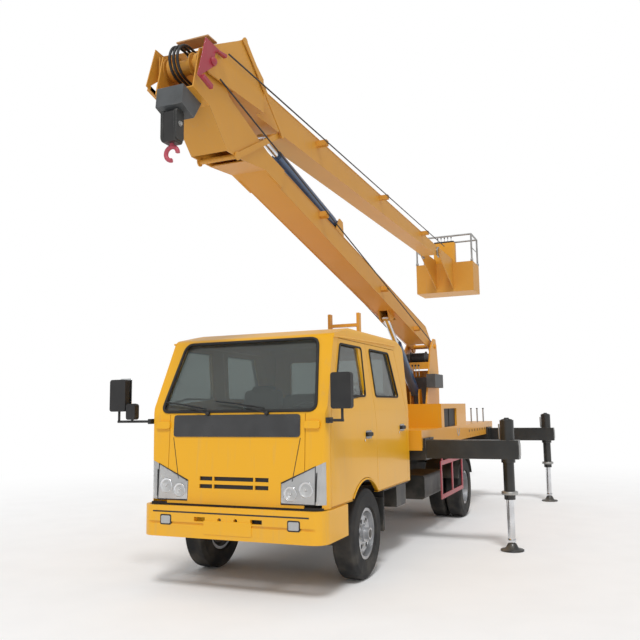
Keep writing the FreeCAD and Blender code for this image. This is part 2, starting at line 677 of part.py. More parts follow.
def chassis_frame():
    """Rails, cross tubes, the body's subframe and the four outrigger housings."""
    pieces = [rail(f"rail{sign}", sign) for sign in (-1, 1)]
    inner = S.rail_outer - S.rail_wall
    shares = (0.02, 0.31, 0.44, 0.62, 0.8, 0.985)
    middle = S.rail_top - S.rail_high * HALF
    for index, share in enumerate(shares):
        station = -S.rail_front + (S.rail_front + S.rail_rear) * share
        pieces.append(across(f"cross{index}", (station, middle), inner, S.cross_radius))
    for sign in (-1, 1):
        x = (inner - S.subframe_half * 2, inner) if sign > 0 else (-inner, -inner + S.subframe_half * 2)
        pieces.append(block(f"subframe{sign}", x, (S.subframe_front, S.rail_rear),
                            (S.rail_top, S.house_low)))
    for index, station in enumerate(house_stations()):
        pieces.append(house(f"house{index}", station))
    pieces.append(tail_board())
    return joined("chassis_frame", *pieces)


def tail_board():
    """The plate across the rails' rear ends that carries the tail lamps."""
    low = S.rail_top - S.rail_high
    outline = [
        (-S.rail_outer, low), (S.rail_outer, low), (S.tail_lamp_out, S.tail_lamp_low),
        (S.tail_lamp_out, S.tail_lamp_high), (-S.tail_lamp_out, S.tail_lamp_high),
        (-S.tail_lamp_out, S.tail_lamp_low),
    ]
    return prism("tail_board", "XZ", outline, S.rail_rear, S.tail_board_wall)


def house_stations():
    """Front left, front right, rear left and rear right beams, side by side in pairs."""
    return (S.leg_front, S.leg_front + S.twin_house, S.leg_rear, S.leg_rear - S.twin_house)


def chassis_equipment():
    """Engine, gearbox and shaft as plain masses, tank, case, flaps and rear mudguards."""
    engine = block("engine", (-S.engine_half, S.engine_half), (S.engine_front, S.engine_rear),
                   (S.engine_low, S.engine_high))
    gearbox = block("gearbox", (-S.gearbox_half, S.gearbox_half), (S.engine_rear, S.gearbox_rear),
                    (S.gearbox_low, S.gearbox_high))
    nose = S.wheelbase - S.diff_nose - S.fit
    root = (S.gearbox_rear - S.shaft_flange, S.shaft_line)
    shaft = leaning_bar("shaft", ZERO, root, (nose - S.shaft_flange * HALF, S.tyre_radius), S.shaft_radius)
    flange = round_bar("shaft_end", "Y", (ZERO, nose - S.shaft_flange, S.tyre_radius), S.diff_half * HALF,
                       S.shaft_flange)
    return joined("engine_and_shaft", engine, gearbox, shaft, flange)


def rear_guard(label):
    """A quarter-round mudguard over the twin tyres."""
    station, axle = S.wheelbase, S.tyre_radius
    long = S.rear_guard_out - S.rear_guard_in
    outer = round_bar(label + "_outer", "X", (S.rear_guard_in, station, axle),
                      S.rear_guard_radius + S.rear_guard_wall, long)
    inner = round_bar(label + "_inner", "X", (S.rear_guard_in - S.overrun, station, axle),
                      S.rear_guard_radius, long + S.overrun * 2)
    below = block(label + "_below", (S.rear_guard_in - S.overrun, S.rear_guard_out + S.overrun),
                  (station - S.rear_guard_radius * 2, station + S.rear_guard_radius * 2),
                  (axle - S.rear_guard_radius * 2, axle + S.drum_radius))
    return cut(label, outer, inner, below)


def side_boxes():
    tank = prism("tank", "XZ", [(S.tank_inner, S.tank_low), (S.tank_outer, S.tank_low),
                                (S.tank_outer, S.tank_high), (S.tank_inner, S.tank_high)],
                 S.tank_front, S.tank_long, [((0, 1, 2, 3), S.tank_round)])
    straps = []
    for index, share in enumerate((0.22, 0.78)):
        start = S.tank_front + S.tank_long * share
        straps.append(block(f"tank_strap{index}", (S.rail_outer, S.tank_inner + S.tank_round),
                            (start, start + S.shackle * 2), (S.tank_low + S.tank_round, S.tank_high)))
    case = block("battery_case", (S.rail_outer, S.case_outer), (S.case_front, S.case_front + S.case_long),
                 (S.case_low, S.case_high))
    flaps = [block("flap_front_left", (S.rail_outer, S.flap_out), (S.arch_radius + S.seam,
             S.arch_radius + S.seam + S.flap_wall), (S.flap_low, S.flap_high))]
    flaps.append(mirrored("flap_front_right", flaps[0]))
    guard = rear_guard("rear_guard_left")
    guard_arm = block("rear_guard_arm", (S.rail_outer, S.rear_guard_in + S.shackle), (S.wheelbase - S.shackle,
                      S.wheelbase + S.shackle), (S.tyre_radius + S.rear_guard_radius - S.shackle * 9,
                      S.tyre_radius + S.rear_guard_radius + S.rear_guard_wall))
    return tank, straps, case, flaps, guard, guard_arm


# Cab: one rounded body form, hollowed and split into shell, front panel and four doors
def grown(outline, by):
    """The outline with each corner moved outwards from its middle by one clearance."""
    middle_u = sum(as_dim(u).value for u, v in outline) / len(outline)
    middle_v = sum(as_dim(v).value for u, v in outline) / len(outline)
    moved = []
    for u, v in outline:
        side_u = UNIT if as_dim(u).value > middle_u else -UNIT
        side_v = UNIT if as_dim(v).value > middle_v else -UNIT
        moved.append((u + by * side_u, v + by * side_v))
    return moved


def cab_form(label, inset, low):
    """The cab's closed form, drawn in by an inset, from its side, front and plan outlines."""
    half = S.cab_half - inset
    roof, head = S.cab_roof - inset, S.cab_head - inset
    side = [
        (-S.cab_front + inset, low), (-S.cab_belt_front + inset, S.cab_belt), (-S.cab_head_front + inset, head),
        (-S.roof_front, roof), (S.roof_rear, roof), (S.cab_rear - inset, head), (S.cab_rear - inset, low),
    ]
    eave = half - S.cab_lean
    front = [
        (-half, low), (half, low), (half, S.cab_belt), (eave, head), (eave, roof), (-eave, roof),
        (-eave, head), (-half, S.cab_belt),
    ]
    plan = [
        (-half, -S.cab_front + inset), (half, -S.cab_front + inset), (half, S.cab_rear - inset),
        (-half, S.cab_rear - inset),
    ]
    tall = roof - low
    side_piece = prism(label + "_side", "YZ", side, -half, half * 2,
                       [((2, 3), S.roof_corner), ((1,), S.cab_corner), ((4, 5), S.roof_corner)])
    front_piece = prism(label + "_front", "XZ", front, -S.cab_front, S.cab_front + S.cab_rear,
                        [((4, 5), S.roof_corner * HALF)])
    plan_piece = prism(label + "_plan", "XY", plan, low, tall, [((0, 1), S.cab_corner)])
    return common(label, side_piece, front_piece, plan_piece)


def front_door_outline():
    return [
        (-S.door_front_low, S.door_low), (S.door_post, S.door_low), (S.door_post, S.door_bend),
        (S.door_post - S.post_lean, S.door_high), (-S.door_front_high, S.door_high),
        (-S.door_front_belt, S.cab_belt), (-S.door_front_low, S.door_hip),
    ]


def rear_door_outline():
    lead = S.door_post + S.seam
    return [
        (lead, S.door_low), (S.door_rear, S.door_low), (S.door_rear, S.cab_belt),
        (S.door_rear - S.rear_lean, S.door_high), (lead - S.post_lean, S.door_high), (lead, S.door_bend),
    ]


def front_window_outline():
    return [
        (-S.front_window_lead, S.front_window_dip), (S.front_window_rear_low, S.window_low),
        (-S.front_window_rear_top, S.window_high), (-S.front_window_top, S.window_high),
    ]


def rear_window_outline():
    return [
        (S.rear_window_lead_low, S.window_low), (S.rear_window_rear_low, S.window_low),
        (S.rear_window_rear_top, S.window_high), (S.rear_window_lead_top, S.window_high),
    ]


def side_prism(label, outline, rounds=()):
    """A cutter through the left wall of the cab."""
    return prism(label, "YZ", outline, S.door_inner, S.cab_half - S.door_inner + S.overrun, rounds)


def arch(label, radius):
    """The round wheel arch through the cab's left wall."""
    return round_bar(label, "X", (S.flap_in, ZERO, S.tyre_radius), radius, S.cab_half - S.flap_in + S.overrun)


def door(name, outline, window):
    """A whole door: the wall's outer form and thickness, its window cut and a rounded sill."""
    blank = side_prism(name + "_blank", outline)
    leaf = common(name + "_leaf", cab_form(name + "_form", ZERO, S.cab_low), blank)
    inside = cab_form(name + "_inside", S.cab_wall, S.cab_low - S.overrun)
    hole = side_prism(name + "_window", window, [((0, 1, 2, 3), S.window_round)])
    return cut(name, leaf, inside, hole, arch(name + "_arch", S.door_arch))


def pane(name, outline):
    """Window glass set in the middle of the wall, a hair inside its opening."""
    blank = side_prism(name + "_blank", grown(outline, -S.fit), [((0, 1, 2, 3), S.window_round)])
    outer = cab_form(name + "_outer", S.glass_set, S.cab_low)
    inner = cab_form(name + "_inner", S.glass_set + S.glass, S.cab_low - S.overrun)
    return cut(name, common(name + "_skin", outer, blank), inner)


def doors():
    both_sides(lambda name: door(name, front_door_outline(), front_window_outline()), "front_door")
    both_sides(lambda name: door(name, rear_door_outline(), rear_window_outline()), "rear_door")
    both_sides(lambda name: pane(name, front_window_outline()), "front_door_glass")
    both_sides(lambda name: pane(name, rear_window_outline()), "rear_door_glass")


def screen_outline():
    return [
        (-S.screen_half_low, S.screen_low), (S.screen_half_low, S.screen_low),
        (S.screen_half_high, S.screen_high), (-S.screen_half_high, S.screen_high),
    ]


def rear_screen_outline():
    half = S.rear_glass_half
    return [(-half, S.rear_glass_low), (half, S.rear_glass_low), (half, S.rear_glass_high),
            (-half, S.rear_glass_high)]


def screens():
    """Windscreen and rear window as skins of the cab's form."""
    front_long = S.cab_front - S.roof_front
    lead = prism("screen_lead", "XZ", grown(screen_outline(), -S.fit), -S.cab_front, front_long,
                 [((0, 1, 2, 3), S.window_round)])
    trail = prism("screen_trail", "XZ", grown(rear_screen_outline(), -S.fit), S.roof_rear,
                  S.cab_rear - S.roof_rear, [((0, 1, 2, 3), S.window_round)])
    skin = cut("screen_skin", cab_form("screen_outer", S.glass_set, S.cab_low),
               cab_form("screen_inner", S.glass_set + S.glass, S.cab_low - S.overrun))
    skin_again = cut("screen_skin_again", cab_form("screen_outer_again", S.glass_set, S.cab_low),
                     cab_form("screen_inner_again", S.glass_set + S.glass, S.cab_low - S.overrun))
    node(gathered("cab_glass", common("windscreen", skin, lead), common("rear_screen", skin_again, trail)),
         "cab_glass")


def lamp_outline(grow=ZERO):
    return grown([
        (S.lamp_in, S.lamp_low), (S.lamp_out, S.lamp_low), (S.lamp_out, S.lamp_out_high),
        (S.lamp_in, S.lamp_in_high),
    ], grow)


def lamp_room(label, sign, grow):
    outline = [(x * sign, z) for x, z in lamp_outline(grow)]
    return prism(label, "XZ", outline, -S.cab_front - S.overrun, S.lamp_deep + S.overrun)


def panel_room(label, side, over):
    """The front panel's place, grown at its sides and above."""
    half = S.panel_half + side
    return block(label, (-half, half), (-S.cab_front - S.overrun, -S.cab_belt_front + S.cab_wall + S.overrun),
                 (S.panel_low - side, S.panel_high + over))


def slot_row(label, middle, height):
    """Three slots side by side: a wide one between two narrow ones."""
    pieces = []
    deep = (-S.cab_front - S.overrun, -S.cab_belt_front + S.cab_wall + S.overrun)
    gap = S.slot_side * HALF * HALF
    reach = S.slot_half + gap + S.slot_side * 2
    for index, (left, right) in enumerate((
            (-reach, -S.slot_half - gap), (-S.slot_half, S.slot_half), (S.slot_half + gap, reach))):
        pieces.append(block(f"{label}{index}", (left, right), deep, (height - S.slot_high * HALF,
                      height + S.slot_high * HALF)))
    return pieces


def front_panel():
    """The panel between the headlamps, with its two rows of slots."""
    skin = cut("front_skin", cab_form("front_outer", ZERO, S.cab_low),
               cab_form("front_inner", S.sheet, S.cab_low - S.overrun))
    piece = common("front_piece", skin, panel_room("front_piece_room", ZERO, ZERO))
    lamps = [lamp_room(f"front_lamp_room{sign}", sign, S.seam) for sign in (-1, 1)]
    slots = slot_row("slot_first_", ZERO, S.slot_first) + slot_row("slot_second_", ZERO, S.slot_second)
    node(cut("front_panel", piece, *lamps, *slots), "front_panel")


def lamps():
    """Headlamps that follow the cab's corner, and tail lamps under the deck's rear edge."""
    pieces = []
    for sign in (-1, 1):
        form = cab_form(f"lamp_form{sign}", ZERO, S.cab_low)
        pieces.append(common(f"headlamp{sign}", form, lamp_room(f"lamp_body{sign}", sign, ZERO)))
        x = sorted((S.tail_lamp_in * sign, S.tail_lamp_out * sign), key=lambda size: size.value)
        seat = S.rail_rear + S.tail_board_wall + S.fit
        pieces.append(block(f"tail_lamp{sign}", tuple(x), (seat, seat + S.tail_lamp_deep),
                            (S.tail_lamp_low, S.tail_lamp_high)))
    node(gathered("lamps", *pieces), "lamps")


def cab_shell():
    """Roof, pillars, rear wall and floor: the hollow form less every opening."""
    outer = cab_form("cab_outer", ZERO, S.cab_low)
    room = cab_form("cab_room", S.cab_wall, S.cab_floor)
    half = S.cab_half - S.cab_wall
    under = block("cab_under", (-half, half), (-S.cab_front - S.overrun, S.cab_rear - S.cab_wall),
                  (S.cab_low - S.overrun, S.cab_floor - S.floor_thick))
    clear = S.rail_outer + S.gap
    rails = block("cab_rail_room", (-clear, clear), (S.cab_rear - S.cab_wall - S.overrun,
                  S.cab_rear + S.overrun), (S.cab_low - S.overrun, S.rail_top + S.gap))
    tools = [room, under, rails, panel_room("cab_panel_room", S.seam, S.fit)]
    front_long = S.cab_front - S.roof_front
    tools.append(prism("screen_hole", "XZ", screen_outline(), -S.cab_front - S.overrun, front_long,
                       [((0, 1, 2, 3), S.window_round)]))
    tools.append(prism("rear_hole", "XZ", rear_screen_outline(), S.roof_rear, S.cab_rear - S.roof_rear
                       + S.overrun, [((0, 1, 2, 3), S.window_round)]))
    for side in ("left", "right"):
        for name, outline in (("front", front_door_outline()), ("rear", rear_door_outline())):
            hole = side_prism(f"hole_{name}_{side}", grown(outline, S.seam))
            tools.append(hole if side == "left" else mirrored(f"hole_{name}_right_side", hole))
        wheel = arch(f"cab_arch_{side}", S.arch_radius)
        tools.append(wheel if side == "left" else mirrored("cab_arch_right_side", wheel))
    tools += [lamp_room(f"cab_lamp_room{sign}", sign, S.fit) for sign in (-1, 1)]
    node(cut("cab_shell", outer, *tools), "cab_shell")


def seat(label, middle, half, front):
    """A plain cushion and back on a foot that stands on the floor."""
    low = S.seat_high - S.seat_thick
    x = (middle - half, middle + half)
    outline = [
        (front, low), (front + S.seat_deep, low), (front + S.seat_deep + S.back_lean, S.back_high),
        (front + S.seat_deep + S.back_lean - S.back_thick, S.back_high),
        (front + S.seat_deep - S.back_thick, S.seat_high), (front, S.seat_high),
    ]
    pad = prism(label + "_pad", "YZ", outline, x[0], half * 2, [((0, 3, 5), S.seat_round)])
    foot = block(label + "_foot", (x[0] + S.seat_foot, x[1] - S.seat_foot),
                 (front + S.seat_foot, front + S.seat_deep - S.seat_foot), (S.cab_floor, low))
    return joined(label, pad, foot)


def cab_interior():
    """Two front seats, the rear bench, the dashboard and the steering wheel on its column."""
    seats = [seat(f"seat{sign}", S.seat_place * sign, S.seat_half, S.seat_front) for sign in (-1, 1)]
    bench = seat("bench", ZERO, S.bench_half, S.bench_front)
    outline = [
        (-S.dash_front, S.cab_floor), (-S.dash_front + S.back_thick, S.cab_floor),
        (-S.dash_rear, S.dash_low), (-S.dash_rear, S.dash_high - S.seat_round), (-S.dash_lead, S.dash_high),
        (-S.dash_lead, S.dash_low), (-S.dash_front, S.dash_low),
    ]
    dash = prism("dash", "YZ", outline, -S.dash_half, S.dash_half * 2, [((2, 3), S.seat_round)])
    hand = add("Part::Torus", "hand_wheel")
    lean = FreeCAD.Rotation(FreeCAD.Vector(UNIT, 0, 0), S.wheel_lean.value)
    hand.Placement = FreeCAD.Placement(FreeCAD.Vector(), lean)
    bind(hand, ".Placement.Rotation.Angle", S.wheel_lean)
    bind(hand, "Radius1", S.wheel_radius)
    bind(hand, "Radius2", S.wheel_tube)
    centre = (-S.wheel_station, S.wheel_high)
    place(hand, S.wheel_place, *centre)
    root = (-S.dash_rear - S.overrun, S.dash_low)
    column = leaning_bar("column", S.wheel_place, root, centre, S.column_radius)
    spoke = block("spoke", (S.wheel_place - S.wheel_radius, S.wheel_place + S.wheel_radius),
                  (centre[0] - S.wheel_tube, centre[0] + S.wheel_tube),
                  (centre[1] - S.wheel_tube, centre[1] + S.wheel_tube))
    node(gathered("cab_interior", *seats, bench, joined("dash_and_wheel", dash, column, spoke, hand)),
         "cab_interior")


def bumper():
    """Wrap-round bumper with its groove, lamp and tow holes, on two brackets."""
    half, wall = S.bumper_half, S.bumper_wall
    tall = S.bumper_high - S.bumper_low
    outer = prism("bumper_outer", "XY", [(-half, -S.bumper_front), (half, -S.bumper_front),
                  (half, -S.bumper_rear), (-half, -S.bumper_rear)], S.bumper_low, tall,
                  [((0, 1), S.bumper_corner)])
    inner = prism("bumper_inner", "XY", [(-half + wall, -S.bumper_front + wall),
                  (half - wall, -S.bumper_front + wall), (half - wall, -S.bumper_rear + S.overrun),
                  (-half + wall, -S.bumper_rear + S.overrun)], S.bumper_low - S.overrun,
                  tall + S.overrun * 2, [((0, 1), S.bumper_corner - wall)])
    deep = (-S.bumper_front - S.overrun, -S.bumper_front + wall + S.overrun)
    tools = [inner, block("groove", (-half, half), (-S.bumper_front - S.overrun,
             -S.bumper_front + S.bumper_groove * HALF), (S.bumper_groove_low,
             S.bumper_groove_low + S.bumper_groove))]
    for sign in (-1, 1):
        fog = S.fog_place * sign
        tools.append(block(f"fog{sign}", (fog - S.fog_half, fog + S.fog_half), deep,
                           (S.bumper_row - S.bumper_groove, S.bumper_row + S.bumper_groove)))
        slot = S.bumper_slot_place * sign
        tools.append(block(f"slot{sign}", (slot - S.bumper_slot, slot + S.bumper_slot), deep,
                           (S.bumper_row - S.bumper_groove, S.bumper_row + S.bumper_groove)))
        hole = S.bumper_hole_place * sign
        tools.append(round_bar(f"hole{sign}", "Y", (hole, deep[0], S.bumper_row), S.bumper_hole,
                               deep[1] - deep[0]))
    shell = cut("bumper_shell", outer, *tools)
    arms = []
    for sign in (-1, 1):
        middle = (S.rail_outer - S.rail_flange * HALF) * sign
        arms.append(block(f"bumper_arm{sign}", (middle - S.rail_flange * HALF, middle + S.rail_flange * HALF),
                          (-S.bumper_front + wall, -S.rail_front), (S.rail_top - S.rail_high,
                          S.bumper_high - S.bumper_groove)))
    node(joined("bumper", shell, *arms), "bumper")


def mirror_head(label, middle, half, mid, high):
    """A rounded housing for one mirror glass."""
    low = mid - high * HALF
    outline = [(middle - half, low), (middle + half, low), (middle + half, low + high),
               (middle - half, low + high)]
    return prism(label, "XZ", outline, -S.mirror_station - S.mirror_deep * HALF, S.mirror_deep,
                 [((0, 1, 2, 3), S.mirror_round)])


def mirrors():
    """Mirrors on bent arms from the front pillars; the right one has a second glass beside it."""
    arm = S.mirror_arm
    foot = S.cab_half + S.fit
    base = S.mirror_foot
    low = S.mirror_mid - S.mirror_high * HALF
    pieces = []
    for name, sign, reach in (("near", 1, S.mirror_place), ("far", -1, S.far_mirror_out)):
        middle = reach * sign
        parts = [mirror_head("mirror_" + name, middle, S.mirror_half, S.mirror_mid, S.mirror_high)]
        x = (foot, middle + arm) if sign > 0 else (middle - arm, -foot)
        parts.append(round_bar(f"mirror_arm_{name}", "X", (x[0], -S.mirror_station, base), arm, x[1] - x[0]))
        parts.append(round_bar(f"mirror_post_{name}", "Z", (middle, -S.mirror_station, base), arm,
                               low - base + S.overrun))
        x = (foot, foot + S.mirror_pad) if sign > 0 else (-foot - S.mirror_pad, -foot)
        parts.append(block(f"mirror_pad_{name}", x, (-S.mirror_station - arm, -S.mirror_station
                     + S.mirror_pad_long), (base - arm * 2, base + arm * 2)))
        if sign < 0:
            half_high = S.small_mirror_high * HALF
            mid = base + arm + S.gap + half_high
            parts.append(mirror_head("mirror_small", -S.small_mirror_out, S.small_mirror_half, mid,
                                     S.small_mirror_high))
            parts.append(round_bar("mirror_post_small", "Z", (-S.small_mirror_out, -S.mirror_station, base),
                                   arm, arm + S.gap + S.overrun))
        pieces.append(joined(f"mirror_{name}_whole", *parts))
    node(gathered("mirrors", *pieces), "mirrors")


def cab():
    cab_shell()
    front_panel()
    screens()
    doors()
    lamps()
    cab_interior()
    bumper()
    mirrors()


# Body behind the cab
def deck():
    """Deck plates with skirts on two joists, the slewing pedestal and the fixed ring."""
    half, top = S.deck_half, S.deck_top
    under = top - S.deck_plate
    pieces = []
    for name, start, end in (("front", S.deck_front, S.box_front), ("rear", S.box_rear, S.deck_rear)):
        pieces.append(block(f"plate_{name}", (-half, half), (start, end), (under, top)))
        for sign in (-1, 1):
            x = sorted((half * sign, (half - S.skirt_wall) * sign), key=lambda size: size.value)
            pieces.append(block(f"skirt_{name}{sign}", tuple(x), (start, end), (S.skirt_low, under)))
    pieces.append(block("fascia", (-half, half), (S.deck_front - S.skirt_wall, S.deck_front),
                        (S.fascia_low, top)))
    pieces.append(block("tail", (-half, half), (S.deck_rear, S.deck_rear + S.skirt_wall), (S.skirt_low, top)))
    inner = S.rail_outer - S.rail_wall
    for sign in (-1, 1):
        x = sorted((inner * sign, (inner - S.subframe_half * 2) * sign), key=lambda size: size.value)
        pieces.append(block(f"joist{sign}", tuple(x), (S.deck_front, S.deck_rear), (S.house_high, under)))
        for index, share in enumerate((0.12, 0.88)):
            middle = S.box_front + (S.box_rear - S.box_front) * share
            pieces.append(block(f"bolster{sign}{index}", tuple(x), (middle - S.joist_half,
                                middle + S.joist_half), (S.house_low, S.house_high)))
    pieces.append(round_bar("pedestal", "Z", (ZERO, S.slew_station, S.house_low), S.pedestal_radius,
                            top - S.house_low))
    pieces.append(round_bar("slew_ring", "Z", (ZERO, S.slew_station, top), S.ring_radius, S.ring_high))
    holes = []
    for index in range(int(S.skirt_holes.value)):
        middle = S.box_rear + (S.deck_rear - S.box_rear) * ((as_dim(index) + HALF) / S.skirt_holes)
        holes.append(round_bar(f"skirt_hole{index}", "X", (-half - S.overrun, middle, S.skirt_low
                     + S.skirt_hole), S.skirt_hole * HALF, (half + S.overrun) * 2))
    notches = []
    for index, station in enumerate(house_stations()):
        side = S.beam_wide * HALF + S.house_wall + S.fit
        notches.append(block(f"notch{index}", (-half - S.overrun, half + S.overrun),
                             (station - side, station + side), (S.fascia_low, S.house_high)))
    node(cut("deck", joined("deck_whole", *pieces), *holes, *notches), "deck")


def toolbox():
    """Full-width box behind the cab with an open bay on each side."""
    half, wall = S.deck_half, S.box_wall
    outer = block("box_outer", (-half, half), (S.box_front, S.box_rear), (S.skirt_low, S.box_high))
    bays = []
    frame = S.box_frame
    for sign in (-1, 1):
        x = sorted(((half + S.overrun) * sign, S.bay_inner * sign), key=lambda size: size.value)
        bays.append(block(f"bay{sign}", tuple(x), (S.box_front + S.box_frame_front, S.box_rear
                    - S.box_frame_rear), (S.deck_top, S.box_high - frame)))
    under = block("box_under", (-half + wall, half - wall), (S.box_front + wall, S.box_rear - wall),
                  (S.skirt_low - S.overrun, S.deck_top - S.deck_plate))
    gaps = []
    inner = S.rail_outer - S.rail_wall
    for sign in (-1, 1):
        x = sorted(((inner + S.fit) * sign, (inner - S.subframe_half * 2 - S.fit) * sign),
                   key=lambda size: size.value)
        gaps.append(block(f"box_gap{sign}", tuple(x), (S.box_front - S.overrun, S.box_rear + S.overrun),
                          (S.skirt_low - S.overrun, S.deck_top - S.deck_plate + S.fit)))
    node(cut("toolbox", outer, *bays, under, *gaps), "toolbox")


def boom_rest():
    """Two posts with a padded bar between them and horns that guide the boom in."""
    pieces = []
    station = S.rest_station
    y = (station - S.rest_bar, station + S.rest_bar)
    for sign in (-1, 1):
        x = sorted((S.rest_half * sign, (S.rest_half - S.rest_post) * sign), key=lambda size: size.value)
        pieces.append(block(f"rest_post{sign}", tuple(x), y, (S.deck_top, S.rest_horn)))
        foot = sorted(((S.rest_half + S.rest_spread) * sign, (S.rest_half - S.rest_post) * sign),
                      key=lambda size: size.value)
        pieces.append(block(f"rest_foot{sign}", tuple(foot), (y[0] - S.rest_spread, y[1] + S.rest_spread),
                            (S.deck_top, S.deck_top + S.skirt_wall)))
    inner = S.rest_half - S.rest_post
    pieces.append(block("rest_bar", (-inner, inner), y, (S.rest_bar_high, S.rest_bar_high + S.rest_bar)))
    pieces.append(block("rest_brace", (-inner, inner), y, (S.rest_brace_high, S.rest_brace_high + S.rest_bar)))
    node(joined("boom_rest", *pieces), "boom_rest")


def side_guard(label):
    """An open frame of flat bars that keeps people off the wheels, on two hangers."""
    face, wall, bar = S.side_guard_face, S.side_guard_wall, S.side_guard_bar
    outer = block(label + "_outer", (face - wall, face), (S.side_guard_front, S.side_guard_rear),
                  (S.side_guard_low, S.side_guard_high))
    tools = []
    middle = (S.side_guard_front + S.side_guard_rear) * HALF
    for index, (start, end) in enumerate(((S.side_guard_front + bar, middle - bar * HALF),
                                          (middle + bar * HALF, S.side_guard_rear - bar))):
        tools.append(block(f"{label}_room{index}", (face - wall - S.overrun, face + S.overrun), (start, end),
                           (S.side_guard_low + bar, S.side_guard_high - bar)))
    hangers = []
    for index, start in enumerate((S.side_guard_front + bar, S.side_guard_rear - bar * 2)):
        hangers.append(block(f"{label}_hanger{index}", (face - wall, face), (start, start + bar),
                             (S.side_guard_high - S.seam, S.skirt_low)))
    return joined(label, cut(label + "_frame", outer, *tools), *hangers)


def side_guards():
    left = side_guard("side_guard_left")
    node(gathered("side_guards", left, mirrored("side_guard_right", left)), "side_guards")


def fittings():
    """Driveline, tank, battery case, flaps and rear mudguards, all hung on the frame."""
    tank, straps, case, flaps, guard, guard_arm = side_boxes()
    left = joined("guard_left", guard, guard_arm)
    node(gathered("chassis_equipment", chassis_equipment(), joined("tank_hung", tank, *straps), case, *flaps,
                  left, mirrored("guard_right", left)), "chassis_equipment")


# Outriggers
def beam(name, station, sign):
    """A sliding box beam with the jack's tube through its outer end."""
    outer = S.leg_side + S.beam_past
    half_y, half_z = S.beam_wide * HALF, S.beam_tall * HALF
    tube = block(name + "_tube", (S.beam_inner, outer), (station - half_y, station + half_y),
                 (S.beam_mid - half_z, S.beam_mid + half_z))
    wall = S.beam_wall
    room = block(name + "_room", (S.beam_inner - S.overrun, outer - wall),
                 (station - half_y + wall, station + half_y - wall),
                 (S.beam_mid - half_z + wall, S.beam_mid + half_z - wall))
    upper_tube = round_bar(name + "_upper", "Z", (S.leg_side, station, S.beam_mid), S.jack_upper,
                           S.jack_top - S.beam_mid)
    lower_tube = round_bar(name + "_lower", "Z", (S.leg_side, station, S.jack_bottom), S.jack_lower,
                           S.beam_mid - S.jack_bottom)
    collar = round_bar(name + "_collar", "Z", (S.leg_side, station, S.beam_mid - half_z - S.collar_high),
                       S.jack_upper, S.collar_high * 2)
    bore = round_bar(name + "_bore", "Z", (S.leg_side, station, S.jack_bottom - S.overrun),
                     S.jack_rod + S.journal_fit, S.jack_top - S.jack_bottom - S.jack_cap + S.overrun)
    piece = cut(name + "_piece", joined(name + "_whole", cut(name + "_box", tube, room), upper_tube,
                lower_tube, collar), bore)
    return piece if sign > 0 else mirrored(name + "_other", piece)


def leg(name, station, sign):
    """The jack's rod with its ball, cone and round pad on the ground."""
    side = S.leg_side
    pad = round_bar(name + "_pad", "Z", (side, station, ZERO), S.foot_radius, S.foot_thick)
    cone = add("Part::Cone", name + "_cone")
    bind(cone, "Radius1", S.foot_cone + S.foot_thick)
    bind(cone, "Radius2", S.ball)
    bind(cone, "Height", S.foot_cone_high)
    place(cone, side, station, S.foot_thick)
    ball = add("Part::Sphere", name + "_ball")
    bind(ball, "Radius", S.ball + S.foot_thick)
    place(ball, side, station, S.foot_thick + S.foot_cone_high + S.ball)
    start = S.foot_thick + S.foot_cone_high + S.ball
    rod = round_bar(name + "_rod", "Z", (side, station, start), S.jack_rod,
                    S.jack_bottom + S.rod_inside - start)
    piece = joined(name + "_whole", pad, cone, ball, rod)
    return piece if sign > 0 else mirrored(name + "_other", piece)


def outriggers():
    names = ("front_left", "front_right", "rear_left", "rear_right")
    for name, station, sign in zip(names, house_stations(), (1, -1, 1, -1)):
        node(beam("beam_" + name, station, sign), "beam_" + name)
        node(leg("leg_" + name, station, sign), "leg_" + name)


# Turret
def base_top():
    return S.deck_top + S.ring_high + S.fit + S.base_thick


def turret():
    """Two tall plates on a round base, tied by cross bars, with the boom and cylinder pins."""
    low, slew = base_top(), S.slew_station
    base = round_bar("turret_base", "Z", (ZERO, slew, low - S.base_thick), S.base_radius, S.base_thick)
    outline = [
        (slew - S.turret_lead_low, low), (slew + S.turret_trail_low, low),
        (slew + S.turret_trail_high, S.turret_waist), (LUFF_PIVOT[0] + S.pivot_round, S.pivot_high),
        (LUFF_PIVOT[0] + S.pivot_round * HALF, S.pivot_high + S.pivot_round),
        (LUFF_PIVOT[0] - S.pivot_round * HALF, S.pivot_high + S.pivot_round),
        (slew - S.turret_lead_high, S.pivot_high - S.pivot_round * HALF),
        (slew - S.turret_lead_waist, S.turret_waist),
    ]
    inner = S.turret_half - S.turret_plate
    plates = [prism("turret_plate_left", "YZ", outline, inner, S.turret_plate),
              prism("turret_plate_right", "YZ", outline, -S.turret_half, S.turret_plate)]
    bars = [block("turret_cross_front", (-inner, inner), (slew - S.turret_lead_waist + S.cross_deep,
                  slew - S.turret_lead_waist + S.cross_deep * 2), (S.cross_low, S.cross_high)),
            block("turret_back", (-inner, inner), (slew + S.turret_trail_low - S.cross_deep,
                  slew + S.turret_trail_low - S.turret_plate), (low, S.cross_low))]
    pins = [across("luff_pivot_pin", LUFF_PIVOT, S.turret_half + S.turret_plate, S.pivot_pin),
            across("luff_foot_pin", LUFF_FOOT, S.luff_gap + S.lug_wall, S.luff_pin)]
    lugs = []
    for sign in (-1, 1):
        x = S.luff_gap if sign > 0 else -S.luff_gap - S.lug_wall
        shape = [(LUFF_FOOT[0] - S.lug_round, low), (LUFF_FOOT[0] + S.lug_round * 3, low),
                 (LUFF_FOOT[0] + S.lug_round, LUFF_FOOT[1] + S.lug_round),
                 (LUFF_FOOT[0] - S.lug_round, LUFF_FOOT[1] + S.lug_round)]
        lugs.append(prism(f"luff_lug{sign}", "YZ", shape, x, S.lug_wall, [((2, 3), S.lug_round * HALF)]))
    node(joined("turret_frame", base, *plates, *bars, *pins, *lugs), "turret_frame")


